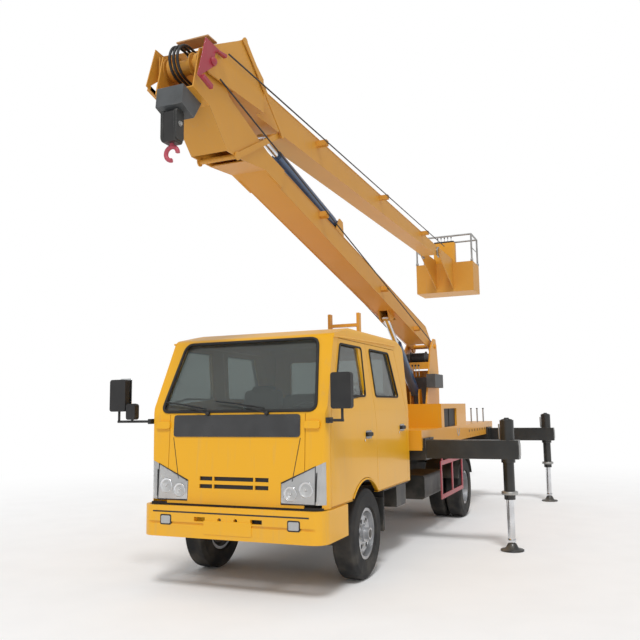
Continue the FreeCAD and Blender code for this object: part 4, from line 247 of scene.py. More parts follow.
def sprayed(name, colour, roughness=0.4, coat=0.0, under=PRIMER, wear=0.5, reach=1.0, dust=0.35, drift=0.2,
            second=None, split=0.0, split_on="X"):
    """Painted sheet. second is the colour of what lies under split on one axis."""
    finish, tree, shader = new_finish(name, Coat_Weight=coat)
    if second:
        side = band(tree, own_axes(tree)[split_on], split - SPLIT_HALF, split + SPLIT_HALF)
        colour = blend_colours(tree, side, second, colour)
    paint = placed(tree, SPRAYED_COAT, Drift=drift, Colour=colour)
    worn = placed(tree, EDGE_WEAR, Amount=wear)["Mask"]
    dusty = placed(tree, ROAD_DUST, Reach=reach, Amount=dust)["Mask"]
    shown = blend_colours(tree, worn, paint["Colour"], under)
    shown = blend_colours(tree, maths(tree, "MULTIPLY", paint["Streaks"], STREAK_SHARE), shown, DUST)
    shown = blend_colours(tree, dusty, shown, DUST)
    dull = maths(tree, "ADD", maths(tree, "MULTIPLY", dusty, DUSTY_ROUGHNESS), roughness, True)
    normal = bumped(tree, paint["Height"], *PEEL_BUMP)
    feed_all(tree, shader, Base_Color=shown, Roughness=dull, Normal=normal)
    return finish


def moulded(name, colour, roughness=0.6, scale=300.0, metallic=0.0, reach=0.9, dust=0.3, depth=0.0006,
            coat=0.0, wear=0.0):
    """Plastic, rubber, cast or rolled metal: one colour with grain in it."""
    finish, tree, shader = new_finish(name, Metallic=metallic, Coat_Weight=coat)
    grain = placed(tree, FINE_GRAIN, Scale=scale)
    dusty = placed(tree, ROAD_DUST, Reach=reach, Amount=dust)["Mask"]
    pale = tuple(min(1, part * 1.18 + 0.004) for part in colour)
    dark = tuple(part * 0.86 for part in colour)
    shown = blend_colours(tree, band(tree, grain["Value"], 0.3, 0.7), dark, pale)
    if wear:
        shown = blend_colours(tree, placed(tree, EDGE_WEAR, Amount=wear)["Mask"], shown, BARE_METAL)
    shown = blend_colours(tree, dusty, shown, DUST)
    uneven = maths(tree, "MULTIPLY", grain["Value"], 0.25)
    dull = maths(tree, "ADD", uneven, roughness - 0.12, True)
    normal = bumped(tree, grain["Height"], 0.35, depth)
    feed_all(tree, shader, Base_Color=shown, Roughness=dull, Normal=normal)
    return finish


def tinted_glass(name, colour, clear):
    """Window glass: plain transmission, with a film of dust in its colour."""
    finish, tree, shader = new_finish(name, Transmission_Weight=clear, IOR=1.45)
    film = placed(tree, ROAD_DUST, Reach=1.9, Amount=0.12)["Mask"]
    shown = blend_colours(tree, film, colour, (0.5, 0.5, 0.48))
    dull = maths(tree, "ADD", maths(tree, "MULTIPLY", film, 0.4), 0.03)
    feed_all(tree, shader, Base_Color=shown, Roughness=dull)
    return finish


def woven(name, colour):
    """Seat cloth: two crossed sets of threads."""
    finish, tree, shader = new_finish(name, Roughness=0.92, Sheen_Weight=0.35)
    weave = maths(tree, "MULTIPLY", *[waves(tree, 260.0, along, 1.5) for along in ("X", "Y")])
    shown = blend_colours(tree, weave, colour, tuple(part * 1.8 + 0.02 for part in colour))
    feed_all(tree, shader, Base_Color=shown, Normal=bumped(tree, weave, 0.5, 0.0008))
    return finish


def lens(name, colour, rib_highlight, clear=0.55):
    """Ribbed lamp plastic, with a painted highlight along the ribs."""
    finish, tree, shader = new_finish(
        name, Coat_Weight=1.0, Coat_Roughness=0.05, Transmission_Weight=clear, Roughness=0.12)
    ribs = waves(tree, 42.0)
    # Each rib is drawn paler than the lens: a painted highlight.
    shown = blend_colours(tree, ribs, colour, tuple(min(1, part * 1.3 + rib_highlight) for part in colour))
    feed_all(tree, shader, Base_Color=shown, Normal=bumped(tree, ribs, 0.3, 0.002))
    return finish


# Finishes
CAB_YELLOW, BOOM_ORANGE, BODY_ORANGE = (0.84, 0.42, 0.004), (0.68, 0.32, 0.035), (0.78, 0.35, 0.012)
CRIMSON, DEEP_BLUE = (0.4, 0.02, 0.045), (0.018, 0.075, 0.19)

cab_paint = sprayed("cab_paint", CAB_YELLOW, coat=0.22, wear=0.06, dust=0.12, drift=0.03)
body_paint = sprayed("body_paint", BODY_ORANGE, 0.42, coat=0.3, wear=0.35, dust=0.18, drift=0.12)
boom_paint = sprayed("boom_paint", BOOM_ORANGE, 0.5, coat=0.1, wear=0.4, dust=0.16)
cover_paint = sprayed("cover_paint", CRIMSON, 0.42, coat=0.3, wear=0.35, second=BOOM_ORANGE)
guard_red = sprayed("guard_red", CRIMSON, 0.45, coat=0.2)
cylinder_blue = sprayed(
    "cylinder_blue", DEEP_BLUE, 0.3, coat=0.6, under=(0.3, 0.3, 0.32), wear=0.4, drift=0.15)
tan_plate = sprayed("tan_plate", (0.56, 0.31, 0.13), 0.5, wear=0.4)
hook_red = sprayed(
    "hook_red", (0.02, 0.02, 0.021), 0.5, wear=0.4, second=(0.5, 0.07, 0.11), split=3.475, split_on="Z")
frame_black = moulded("frame_black", (0.016, 0.017, 0.017), 0.45, 160.0, dust=0.45, wear=0.6)
outrigger_black = moulded(
    "outrigger_black", (0.012, 0.013, 0.013), 0.38, 120.0, reach=0.7, dust=0.3, coat=0.2, wear=0.5)
tyre_rubber = moulded("tyre_rubber", (0.012, 0.012, 0.013), 0.82, 220.0, reach=0.8, dust=0.2)
rim_silver = moulded(
    "rim_silver", (0.5, 0.51, 0.53), 0.4, 90.0, metallic=0.75, reach=0.8, dust=0.35, depth=0.0003)
chrome = moulded(
    "rod_chrome", (0.7, 0.71, 0.73), 0.18, 500.0, metallic=1.0, reach=0.4, dust=0.15, depth=0.00008)
steel = moulded("steel_parts", (0.4, 0.4, 0.39), 0.45, 140.0, metallic=0.8, dust=0.25)
machine_grey = moulded("machine_grey", (0.07, 0.076, 0.08), 0.5, 110.0, dust=0.2, wear=0.5)
trim_black = moulded("trim_black", (0.013, 0.013, 0.014), 0.55, 420.0, dust=0.15)
cowl_gloss = moulded("cowl_gloss", (0.02, 0.021, 0.023), 0.2, 500.0, coat=1.0, dust=0.1, depth=0.00005)
window_rubber = moulded("window_rubber", (0.012, 0.012, 0.012), 0.7, 350.0, dust=0.12)
hose_rubber = moulded("hose_rubber", (0.013, 0.013, 0.014), 0.5, 380.0, dust=0.1)
wire_rope = moulded("wire_rope", (0.05, 0.05, 0.052), 0.5, 260.0, metallic=0.6, dust=0.1, depth=0.002)
mirror_glass = moulded(
    "mirror_glass", (0.75, 0.77, 0.78), 0.13, 500.0, metallic=1.0, dust=0.05, depth=0.00002)
cabin_plastic = moulded("cabin_plastic", (0.09, 0.088, 0.084), 0.7, dust=0.0)
window_glass = tinted_glass("window_glass", (0.34, 0.38, 0.37), 0.88)
headlamp_lens = lens("headlamp_lens", (0.72, 0.74, 0.75), 0.1)
seat_cloth = woven("seat_cloth", (0.06, 0.062, 0.068))

NODE_FINISH = {
    window_glass: ["*_glass*"],
    cab_paint: ["cab_shell", "front_panel", "*_door_*", "bumper"],
    body_paint: ["toolbox", "turret_frame", "deck", "boom_rest"],
    boom_paint: ["elbow_shaft", "*_boom", "*_link", "basket_tub"],
    cover_paint: ["elbow_covers"],
    guard_red: ["side_guards"],
    cylinder_blue: ["*_barrel"],
    outrigger_black: ["beam_*"],
    chrome: ["leg_*", "*_rod"],
    tyre_rubber: ["*_tyre*"],
    rim_silver: ["*_rim*"],
    machine_grey: ["turret_equipment", "sheave_box"],
    steel: ["basket_rails", "levelling_drum"],
    trim_black: ["mirrors"],
    wire_rope: ["*_lines"],
    headlamp_lens: ["lamps"],
    hook_red: ["hook_block"],
    frame_black: ["*"],
}


def dress_nodes():
    """Gives every CAD node the first finish whose names fit; a star stands for any letters."""
    for node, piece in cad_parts.items():
        finish = next(finish for finish, names in NODE_FINISH.items()
                      if any(fnmatch(node, name) for name in names))
        if not piece.material_slots:
            piece.data.materials.append(finish)
        for place in piece.material_slots:
            place.link = "OBJECT"
            place.material = finish


dress_nodes()

# Ways of making a piece
FULL_TURN = 2 * math.pi
ACROSS = {
    "x": lambda point, depth: (depth, *point),
    "y": lambda point, depth: (point[0], depth, point[1]),
    "z": lambda point, depth: (*point, depth),
}


def in_scene(name, data):
    """A new object in the scene, from a mesh, curve, camera or light."""
    thing = bpy.data.objects.new(name, data)
    bpy.context.scene.collection.objects.link(thing)
    return thing


def set_on(name, shape, finish, body, bevel=0.0, smooth=False, soften=0):
    """Puts a finished bmesh on its body, with rounded edges."""
    bmesh.ops.recalc_face_normals(shape, faces=shape.faces)
    mesh = bpy.data.meshes.new(name)
    shape.to_mesh(mesh)
    shape.free()
    piece = in_scene(name, mesh)
    mesh.materials.append(finish)
    for face in mesh.polygons:
        face.use_smooth = smooth or bevel > 0
    if bevel:
        rounding = piece.modifiers.new("rounded_edges", "BEVEL")
        rounding.width, rounding.segments, rounding.limit_method = bevel, 2, "ANGLE"
        rounding.harden_normals = True
    if soften:
        round_off = piece.modifiers.new("soft_form", "SUBSURF")
        round_off.levels = round_off.render_levels = soften
    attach(piece, body)
    return piece


def join_outlines(shape, outlines):
    """Adds the closed solid between two outlines that have as many points each."""
    near, far = ([shape.verts.new(point) for point in outline] for outline in outlines)
    shape.faces.new(near)
    shape.faces.new(far)
    for i in range(len(near)):
        after = (i + 1) % len(near)
        shape.faces.new([near[i], near[after], far[after], far[i]])


def plates(name, axis, parts, finish, body, bevel):
    """Several solids across one axis in one piece; each part is (low, high, outline)."""
    shape = bmesh.new()
    for low, high, outline in parts:
        join_outlines(shape, [[ACROSS[axis](point, depth) for point in outline] for depth in (low, high)])
    return set_on(name, shape, finish, body, bevel)


def plate(name, axis, low, high, outline, finish, body, bevel):
    """A solid with this outline between two depths on an axis."""
    plates(name, axis, [(low, high, outline)], finish, body, bevel)


def span(sign, inner, outer):
    """The lower and the upper end of a stretch on one side of the middle."""
    return sorted((sign * inner, sign * outer))


def box_outline(low_a, high_a, low_b, high_b):
    return [(low_a, low_b), (high_a, low_b), (high_a, high_b), (low_a, high_b)]


def rounded(outline, radius, steps=4):
    """An outline with its corners rounded."""
    result = []
    for i, point in enumerate(outline):
        here = Vector(point)
        before, after = Vector(outline[i - 1]) - here, Vector(outline[(i + 1) % len(outline)]) - here
        reach = min(radius, before.length * 0.45, after.length * 0.45)
        start, end = here + before.normalized() * reach, here + after.normalized() * reach
        for k in range(steps + 1):
            t = k / steps
            result.append(tuple(start * (1 - t) ** 2 + here * 2 * t * (1 - t) + end * t * t))
    return result


def rounded_box(low_a, high_a, low_b, high_b, radius, steps=4):
    return rounded(box_outline(low_a, high_a, low_b, high_b), radius, steps)


def even_angles(count, first=0.0):
    """The angles of so many even steps round, from a share of a step on."""
    return [FULL_TURN * (step + first) / count for step in range(count)]


def on_circle(centre, axis, radius, angles):
    """Places round an axis."""
    along = Vector(axis).normalized()
    side = along.orthogonal().normalized()
    other = along.cross(side)
    return [Vector(centre) + (side * (math.cos(a) * radius) + other * (math.sin(a) * radius)) for a in angles]


def round_x(x, middle, radius, angles):
    """Places on a circle that faces sideways; middle is its Y and Z."""
    return [(x, middle[0] + radius * math.cos(a), middle[1] + radius * math.sin(a)) for a in angles]


def lathe(shape, profile, centre, axis, steps=32):
    """Adds a turned form: profile is (along, radius) pairs from the centre on."""
    along = Vector(axis).normalized()
    rings = []
    for run, radius in profile:
        spots = on_circle(Vector(centre) + along * run, axis, radius, even_angles(steps))
        rings.append([shape.verts.new(spot) for spot in spots])
    for first, second in zip(rings, rings[1:]):
        for k in range(steps):
            after = (k + 1) % steps
            shape.faces.new([first[k], first[after], second[after], second[k]])
    shape.faces.new(list(reversed(rings[0])))
    shape.faces.new(rings[-1])


def turned(name, profile, centre, axis, finish, body, steps=32, smooth=True):
    """One turned form as a piece."""
    shape = bmesh.new()
    lathe(shape, profile, centre, axis, steps)
    set_on(name, shape, finish, body, smooth=smooth)


def bar(name, points, radius, finish, body, closed=False, smooth=True, steps=4):
    """A bent tube, rail or hose along smooth or straight runs."""
    curve = bpy.data.curves.new(name, "CURVE")
    curve.dimensions = "3D"
    curve.bevel_depth, curve.bevel_resolution, curve.use_fill_caps = radius, steps, True
    line = curve.splines.new("NURBS" if smooth else "POLY")
    line.points.add(len(points) - 1)
    for spot, point in zip(line.points, points):
        spot.co = (*point, 1)
    line.use_cyclic_u = closed
    if smooth:
        line.order_u = 3
        line.use_endpoint_u = not closed
    piece = in_scene(name, curve)
    curve.materials.append(finish)
    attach(piece, body)
    return piece


def bolt_heads(name, spots, axis, radius, body, washer, head, washer_steps):
    """Hexagon heads on washers as one piece; both profiles are shares of the bolt's radius."""
    shape = bmesh.new()
    for spot in spots:
        for profile, steps in ((washer, washer_steps), (head, 6)):
            lathe(shape, [(run * radius, wide * radius) for run, wide in profile], spot, axis, steps)
    set_on(name, shape, steel, body)


def bolt_ring(name, place, axis, circle, count, radius, body):
    """A ring of bolt heads."""
    spots = on_circle(place, axis, circle, even_angles(count, 0.5))
    washer, head = [(0, 1.3), (0.2, 1.25)], [(0.18, 1), (0.75, 1), (0.9, 0.75)]
    bolt_heads(name, spots, axis, radius, body, washer, head, 12)


def lower(along, up):
    """Y and Z of a place on the lower boom, from its luff pivot."""
    c, s = math.cos(LOWER_RISE), math.sin(LOWER_RISE)
    return LUFF_PIVOT[0] - along * c + up * s, LUFF_PIVOT[1] + along * s + up * c


def upper(along, up):
    """Y and Z of a place on the upper boom, from the elbow."""
    c, s = math.cos(UPPER_RISE), math.sin(UPPER_RISE)
    return ELBOW[0] + along * c - up * s, ELBOW[1] + along * s + up * c


# Cab outside
CAB_HALF = 0.83  # outer face of the doors
CAB_FACE, CAB_FOOT = -3.83, 0.711  # the front panel's face, and the height where it starts to lean
BELT, HEAD = 1.466, 2.12  # heights of the windows' foot and of the screen's top
FACE_LEAN, SCREEN_LEAN, WINDOW_LEAN = 0.045, 0.285, 0.046
SLOT_HALF = 0.6
BUMPER_FACE = -3.9
LEFT_SEAM = [(0.604, 1.262), (0.598, 1.262), (0.532, 0.92), (0.538, 0.92)]
LAMP_DIVIDE = [(0.733, 0.77), (0.742, 0.99), (0.752, 0.995), (0.745, 0.77)]
LAMP_EDGE = [(0.44, 0.745), (0.735, 0.745), (0.735, 1.04), (0.44, 0.905)]
LAMP_BOWLS = ((0.52, 0.825, 0.058), (0.655, 0.86, 0.062))  # X, Z and radius
BOWL_SHARES = ((0, 0.35), (0.004, 0.6), (0.012, 0.92), (0.014, 1), (0.006, 1))
SCREEN = [(-0.735, 1.48), (0.735, 1.48), (0.65, 2.085), (-0.65, 2.085)]
WIPERS = (("near", 0.3, -0.2), ("far", -0.26, -0.71))  # the pivot's X and the blade tip's X
FRONT_WINDOW = [(-3.615, 1.535), (-3.27, 1.597), (-2.842, 1.597), (-2.86, 2.04), (-3.385, 2.04)]
REAR_WINDOW = [(-2.55, 1.597), (-1.82, 1.597), (-2.045, 2.04), (-2.635, 2.04)]
WINDOWS = {"front": FRONT_WINDOW, "rear": REAR_WINDOW}
HANDLES = (("front", -2.796, 1.249), ("rear", -1.73, 1.279))
DRIP_LINE = ((-3.52, 2.094), (-2.68, 2.125), (-1.77, 2.135))
ARCH_RADIUS, ARCH_FIRST, ARCH_STEP, ARCH_COUNT = 0.474, 46, 8.8, 11  # angles in degrees
MIRRORS = (("near", 0.967, 0.066, 1.5, 1.75), ("far", -1.167, 0.066, 1.518, 1.787),
           ("small", -1.075, 0.038, 1.447, 1.56))  # X, half width, foot and top
MIRROR_PANE = (-3.737, -3.7315)


def cab_front(height):
    """Y of the cab's front face at a height: a slight lean below the belt, the raked screen above."""
    if height <= BELT:
        return CAB_FACE + FACE_LEAN * max(0, height - CAB_FOOT) / (BELT - CAB_FOOT)
    return CAB_FACE + FACE_LEAN + SCREEN_LEAN * (height - BELT) / (HEAD - BELT)


def cab_side(height):
    """X of the cab's side at a height: upright doors, then the windows lean in."""
    return CAB_HALF - WINDOW_LEAN * max(0, height - BELT) / (HEAD - BELT)


def on_front(x, z, proud=0.0):
    """A place on the cab's front, or before it."""
    return x, cab_front(z) - proud, z


def front_plate(name, outline, proud, deep, finish=trim_black, bevel=0):
    """A plate that lies on the leaning cab front; proud and deep are its faces from the panel."""
    shape = bmesh.new()
    join_outlines(shape, [[on_front(x, z, off) for x, z in outline] for off in (proud, -deep)])
    set_on(name, shape, finish, "truck", bevel)


def bumper_plate(name, outline, proud, finish, bevel):
    """A plate on the bumper, so far before its face."""
    plate(name, "y", BUMPER_FACE - proud, BUMPER_FACE, outline, finish, "truck", bevel)


def mirrored(outline, sign):
    return [(sign * a, b) for a, b in outline]


def dress_cab_front():
    """Cowl strip, the slots' dark back, seams, corner pods, the bumper's pieces and the screen's rubber."""
    cowl = rounded_box(-SLOT_HALF, SLOT_HALF, 1.268, 1.452, 0.03)
    front_plate("cowl_strip", cowl, 0.008, 0.01, cowl_gloss, 0.003)
    front_plate("slot_back", box_outline(-SLOT_HALF, SLOT_HALF, 0.8, 1.02), -0.016, 0.022)
    front_plate("bumper_gap", box_outline(-0.8, 0.8, 0.695, 0.722), -0.004, 0.03)
    for label, sign in SIDES:
        front_plate(f"panel_seam_{label}", mirrored(LEFT_SEAM, sign), 0.0012, 0.01)
        pod = rounded_box(*span(sign, 0.635, 0.775), 1.335, 1.4, 0.025)
        front_plate(f"corner_pod_{label}", pod, 0.022, 0.02, cab_paint, 0.006)
        dress_headlamp(label, sign)
        fog = rounded_box(*span(sign, 0.545, 0.635), 0.56, 0.625, 0.012)
        bumper_plate(f"fog_lamp_{label}", fog, 0.022, headlamp_lens, 0.004)
        rim = rounded_box(*span(sign, 0.535, 0.645), 0.55, 0.635, 0.016)
        bumper_plate(f"fog_surround_{label}", rim, 0.0185, trim_black, 0.002)
    bumper_plate("blank_plate", rounded_box(-0.22, 0.22, 0.49, 0.6, 0.01), 0.021, cab_paint, 0.002)
    bumper_plate("bumper_groove", box_outline(-0.72, 0.72, 0.652, 0.664), 0.0175, trim_black, 0.001)
    rubber = [on_front(x, z, 0.004) for x, z in rounded(SCREEN, 0.07, 6)]
    bar("screen_rubber", rubber, 0.013, window_rubber, "truck", closed=True, smooth=False)
    for wiper in WIPERS:
        dress_wiper(*wiper)


def dress_headlamp(label, sign):
    """Two bright bowls behind the lens, a dark divide and the dark surround."""
    for number, (x, z, radius) in enumerate(LAMP_BOWLS):
        place = on_front(sign * x, z, -0.01)
        bowl = [(run, wide * radius) for run, wide in BOWL_SHARES]
        turned(f"lamp_bowl_{label}_{number}", bowl, place, (0, -1, 0), chrome, "truck")
        turned(f"lamp_bulb_{label}_{number}", [(0, 0.014), (0.012, 0.013), (0.018, 0.006)], place, (0, -1, 0),
               headlamp_lens, "truck", 16)
    front_plate(f"lamp_divide_{label}", mirrored(LAMP_DIVIDE, sign), 0.002, 0.02)
    line = [on_front(x, z, 0.001) for x, z in mirrored(LAMP_EDGE, sign)]
    bar(f"lamp_surround_{label}", line, 0.0055, trim_black, "truck", smooth=False)


def dress_wiper(label, pivot, tip):
    """Pivot, arm and blade at the foot of the screen."""
    turned(f"wiper_pivot_{label}", [(0, 0.02), (0.018, 0.018), (0.026, 0.008)], on_front(pivot, 1.46, 0.004),
           (0, -1, 0.2), trim_black, "truck", 16)
    middle = (pivot + tip) / 2
    arm = [on_front(pivot, 1.462, 0.024), on_front(pivot - 0.06, 1.482, 0.04), on_front(middle, 1.54, 0.04)]
    bar(f"wiper_arm_{label}", arm, 0.0055, trim_black, "truck")
    blade = [on_front(pivot - 0.02, 1.5, 0.022), on_front(middle, 1.54, 0.028), on_front(tip, 1.565, 0.022)]
    bar(f"wiper_blade_{label}", blade, 0.0065, window_rubber, "truck")


def dress_handle(label, sign, door, y, z):
    """A door's handle with its cup and lock."""
    body = f"{door}_door_{label}"
    cup = rounded_box(y - 0.085, y + 0.085, z - 0.037, z + 0.037, 0.034, 6)
    plate(f"{door}_handle_cup_{label}", "x", *span(sign, 0.829, 0.833), cup, cowl_gloss, body, 0.001)
    grip = rounded_box(y - 0.068, y + 0.066, z - 0.016, z + 0.02, 0.016, 6)
    plate(f"{door}_handle_{label}", "x", *span(sign, 0.832, 0.856), grip, trim_black, body, 0.006)
    turned(f"{door}_lock_{label}", [(0, 0.011), (0.005, 0.01)], (sign * 0.832, y - 0.11, z - 0.045),
           (sign, 0, 0), chrome, body, 16)


def dress_cab_sides():
    """Window rubbers, handles, drip rails, wheel arch lips, sills, mudflaps and the mirrors' panes."""
    for label, sign in SIDES:
        for door, window in WINDOWS.items():
            line = [(sign * (cab_side(z) + 0.001), y, z) for y, z in rounded(window, 0.035)]
            bar(f"{door}_window_rubber_{label}", line, 0.0095, window_rubber, f"{door}_door_{label}",
                closed=True, smooth=False)
        for handle in HANDLES:
            dress_handle(label, sign, *handle)
        rail = [(sign * (cab_side(z) + 0.004), y, z) for y, z in DRIP_LINE]
        bar(f"drip_rail_{label}", rail, 0.009, cab_paint, "truck")
        angles = [math.radians(ARCH_FIRST + ARCH_STEP * i) for i in range(ARCH_COUNT)]
        arch = round_x(sign * 0.832, FRONT_HUB.yz, ARCH_RADIUS, angles)
        bar(f"arch_lip_{label}", arch, 0.008, cab_paint, "truck")
        sill = box_outline(-2.35, -1.5, 0.69, 0.714)
        plate(f"sill_{label}", "x", *span(sign, 0.72, 0.815), sill, trim_black, "truck", 0.004)
        flap = rounded_box(*span(sign, 0.6, 0.83), 0.33, 0.7, 0.02)
        plate(f"mudflap_{label}", "y", -2.405, -2.395, flap, hose_rubber, "truck", 0.002)
    for name, x, half, low, high in MIRRORS:
        pane = rounded_box(x - half, x + half, low, high, 0.02)
        plate(f"mirror_pane_{name}", "y", *MIRROR_PANE, pane, mirror_glass, "truck", 0.001)


dress_cab_front()
dress_cab_sides()

# Cab inside
CUSHION_CUTS = 9
CORNER_PULL, SIDE_PULL = 0.07, 0.035
SEAM_DEEP, SEAM_PLACE, SEAM_WIDE = 0.042, 0.62, 0.045
SEAT_PLACE, SEAT_LEAN, BACK_LEAN = 0.4, -4, 82  # X of the seats' middles, and angles in degrees
SEAT_CROWN, BACK_CROWN = 0.25, 0.3
SEAT_FOOT = (0.881, 1.09)  # from the cab's floor to the seats
DASH = [(-3.735, 1.13), (-3.46, 1.13), (-3.44, 1.3), (-3.52, 1.41), (-3.66, 1.43), (-3.725, 1.42)]
BINNACLE = [(-3.62, 1.425), (-3.48, 1.39), (-3.5, 1.47), (-3.6, 1.485)]
HAND_WHEEL, HAND_RADIUS, HAND_LEAN = Vector((SEAT_PLACE, -3.29, 1.44)), 0.2, 32
SPOKE_ANGLES = (0.2, math.pi - 0.2, -math.pi / 2)
WHEEL_BOSS = [(-0.05, 0.03), (-0.01, 0.05), (0.004, 0.045)]
COLUMN = [(0.02, 0.03), (0.3, 0.034), (0.46, 0.04)]


def cushion(name, middle, size, lean, crown, sewn=True):
    """A stuffed form: crowned faces, pulled-in sides and sewn channels."""
    shape = bmesh.new()
    bmesh.ops.create_cube(shape, size=2.0)
    bmesh.ops.subdivide_edges(shape, edges=shape.edges[:], cuts=CUSHION_CUTS, use_grid_fill=True)
    turn = Matrix.Rotation(math.radians(lean), 4, "X")
    for spot in shape.verts:
        x, y, z = spot.co
        corner = 1 - CORNER_PULL * (x ** 4 * y ** 4 + y ** 4 * z ** 4 + x ** 4 * z ** 4)
        waist = 1 - SIDE_PULL * ((1 - abs(x) ** 3) * abs(y) ** 6 + (1 - abs(y) ** 3) * abs(x) ** 6)
        swell = crown * (1 - x * x) * (1 - y * y) * max(z, 0)
        on_top = sewn and z > 0.9
        seam = SEAM_DEEP * math.exp(-((abs(x) - SEAM_PLACE) / SEAM_WIDE) ** 2) if on_top else 0
        formed = (x * corner * waist, y * corner * waist, z * corner + swell - seam)
        spot.co = turn @ Vector([share * full / 2 for share, full in zip(formed, size)]) + Vector(middle)
    piece = set_on(name, shape, seat_cloth, "truck", smooth=True, soften=1)


def dress_seats():
    """Two front seats with head rests, and the rear bench."""
    for label, sign in SIDES:
        x = sign * SEAT_PLACE
        cushion(f"seat_{label}", (x, -2.77, 1.15), (0.46, 0.47, 0.13), SEAT_LEAN, SEAT_CROWN)
        cushion(f"seat_back_{label}", (x, -2.53, 1.43), (0.44, 0.54, 0.11), BACK_LEAN, BACK_CROWN)
        cushion(f"head_rest_{label}", (x, -2.505, 1.665), (0.25, 0.13, 0.08), BACK_LEAN, BACK_CROWN, False)
        foot = rounded_box(x - 0.19, x + 0.19, -2.97, -2.59, 0.03)
        plate(f"seat_foot_{label}", "z", *SEAT_FOOT, foot, cabin_plastic, "truck", 0.01)
    cushion("bench", (0, -1.86, 1.15), (1.3, 0.46, 0.13), SEAT_LEAN, SEAT_CROWN)
    cushion("bench_back", (0, -1.61, 1.42), (1.3, 0.5, 0.1), BACK_LEAN, SEAT_CROWN)
    foot = rounded_box(-0.62, 0.62, -2.06, -1.66, 0.03)
    plate("bench_foot", "z", *SEAT_FOOT, foot, cabin_plastic, "truck", 0.01)


def dress_cabin():
    """Seats, dash, wheel and column in place of the CAD's plain ones."""
    dress_seats()
    plate("dash", "x", -0.7, 0.7, rounded(DASH, 0.03), cabin_plastic, "truck", 0.008)
    plate("binnacle", "x", 0.22, 0.58, rounded(BINNACLE, 0.02), cabin_plastic, "truck", 0.01)
    tilt = Matrix.Rotation(math.radians(HAND_LEAN), 3, "X")
    axis = tilt @ Vector((0, 0, 1))

    def on_wheel(angle, radius, up=0.0):
        return tuple(HAND_WHEEL + tilt @ Vector((radius * math.cos(angle), radius * math.sin(angle), up)))

    ring = [on_wheel(angle, HAND_RADIUS) for angle in even_angles(24)]
    hand_wheel = bar("hand_wheel", ring, 0.014, cabin_plastic, "truck", closed=True)
    for number, angle in enumerate(SPOKE_ANGLES):
        spoke = [on_wheel(0, 0, -0.03), on_wheel(angle, HAND_RADIUS - 0.01)]
        bar(f"wheel_spoke_{number}", spoke, 0.011, cabin_plastic, "truck", smooth=False)
    turned("wheel_boss", WHEEL_BOSS, HAND_WHEEL, axis, cabin_plastic, "truck")
    turned("column", COLUMN, on_wheel(0, 0, -0.5), axis, cabin_plastic, "truck")
    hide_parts("cab_interior")


dress_cabin()

# Elbow and booms
LOWER_LONG = 7.078  # from the luff pivot to the elbow
COVER_IN, COVER_OUT, ARM_OUT, KNOB_FACE = 0.2265, 0.2345, 0.258, 0.238
COVER = [(0.137, 0.121), (0.162, -0.245), (-0.02, -0.245), (-0.02, -0.208), (0.112, -0.208), (-0.014, -0.039),
         (-0.014, 0.082), (-0.018, 0.105), (-0.138, 0.14), (-0.138, 0.172)]  # along and up from the elbow
COVER_ARMS = ([(-0.02, -0.245), (0.112, -0.245), (0.112, -0.208), (-0.02, -0.208)],
              [(-0.018, 0.105), (-0.138, 0.14), (-0.138, 0.172), (-0.018, 0.121)])
ELBOW_KNOB = [(-0.006, 0.036), (0.008, 0.035), (0.012, 0.026), (0.02, 0.024), (0.024, 0.01)]
IDLERS = (-0.16, -0.072, 0.072, 0.16)
IDLER_RING = [(-0.004, 0.094), (-0.004, 0.099), (0.004, 0.099), (0.004, 0.094)]
HOSES, HOSE_RADIUS = (-0.035, 0.0, 0.035), 0.011
HOSE_ROUTE = [(-4.46, 4.02), (-4.6, 4.02), (-4.7, 4.07), (-4.735, 4.17), (-4.68, 4.28), (-4.56, 4.32),
              (-4.46, 4.3)]
HOSE_NUT = [(-0.02, 0.012), (-0.02, 0.017), (0.012, 0.017), (0.012, 0.012)]
BOX_HALF, UPPER_HALF, WELD_RADIUS = 0.152, 0.1215, 0.004
LOWER_WELDS = {"top": ((0.4, 0.21), (5.9, -0.098)), "foot": ((0.4, -0.082), (5.9, -0.292))}
UPPER_WELD = ((0.95, 0.236), (6.9, 0.125))
BOX_START, BOX_TOP, BOX_FALL, BOX_LONG = 0.35, 0.22, 0.329, 5.635  # the taper of the lower boom's top
PIPES, PIPE_STATIONS, CLIP_STATIONS = (-0.03, 0.0, 0.03), (0.6, 2.0, 3.6, 4.9, 5.85), (1.9, 3.3, 4.6, 5.6)


def from_elbow(corners):
    """The Y and Z of corners given along and up from the elbow, on the lower boom."""
    return [lower(LOWER_LONG + along, up) for along, up in corners]


def dress_elbow():
    """The two cover plates with their bar arms, the knobs, hose loops, idler rings and the cross plate."""
    for label, sign in SIDES:
        parts = [(*span(sign, COVER_IN, COVER_OUT), from_elbow(COVER))]
        parts += [(*span(sign, COVER_IN, ARM_OUT), from_elbow(arm)) for arm in COVER_ARMS]
        plates(f"elbow_cover_{label}", "x", parts, cover_paint, "lower_boom", 0.0025)
        place = (sign * KNOB_FACE, *lower(LOWER_LONG, 0))
        turned(f"elbow_knob_{label}", ELBOW_KNOB, place, (sign, 0, 0), cover_paint, "lower_boom")
    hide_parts("elbow_covers")
    for number, x in enumerate(HOSES):
        hose_loop(f"elbow_hose_{number}", x)
    for number, x in enumerate(IDLERS):
        turned(f"idler_ring_{number}", IDLER_RING, (x, *ELBOW), (1, 0, 0), boom_paint, "lower_boom", 40)
    cross = [upper(*corner) for corner in box_outline(0.06, 0.2, 0.262, 0.275)]
    plate("elbow_cross_plate", "x", -0.15, 0.15, cross, tan_plate, "upper_boom", 0.003)


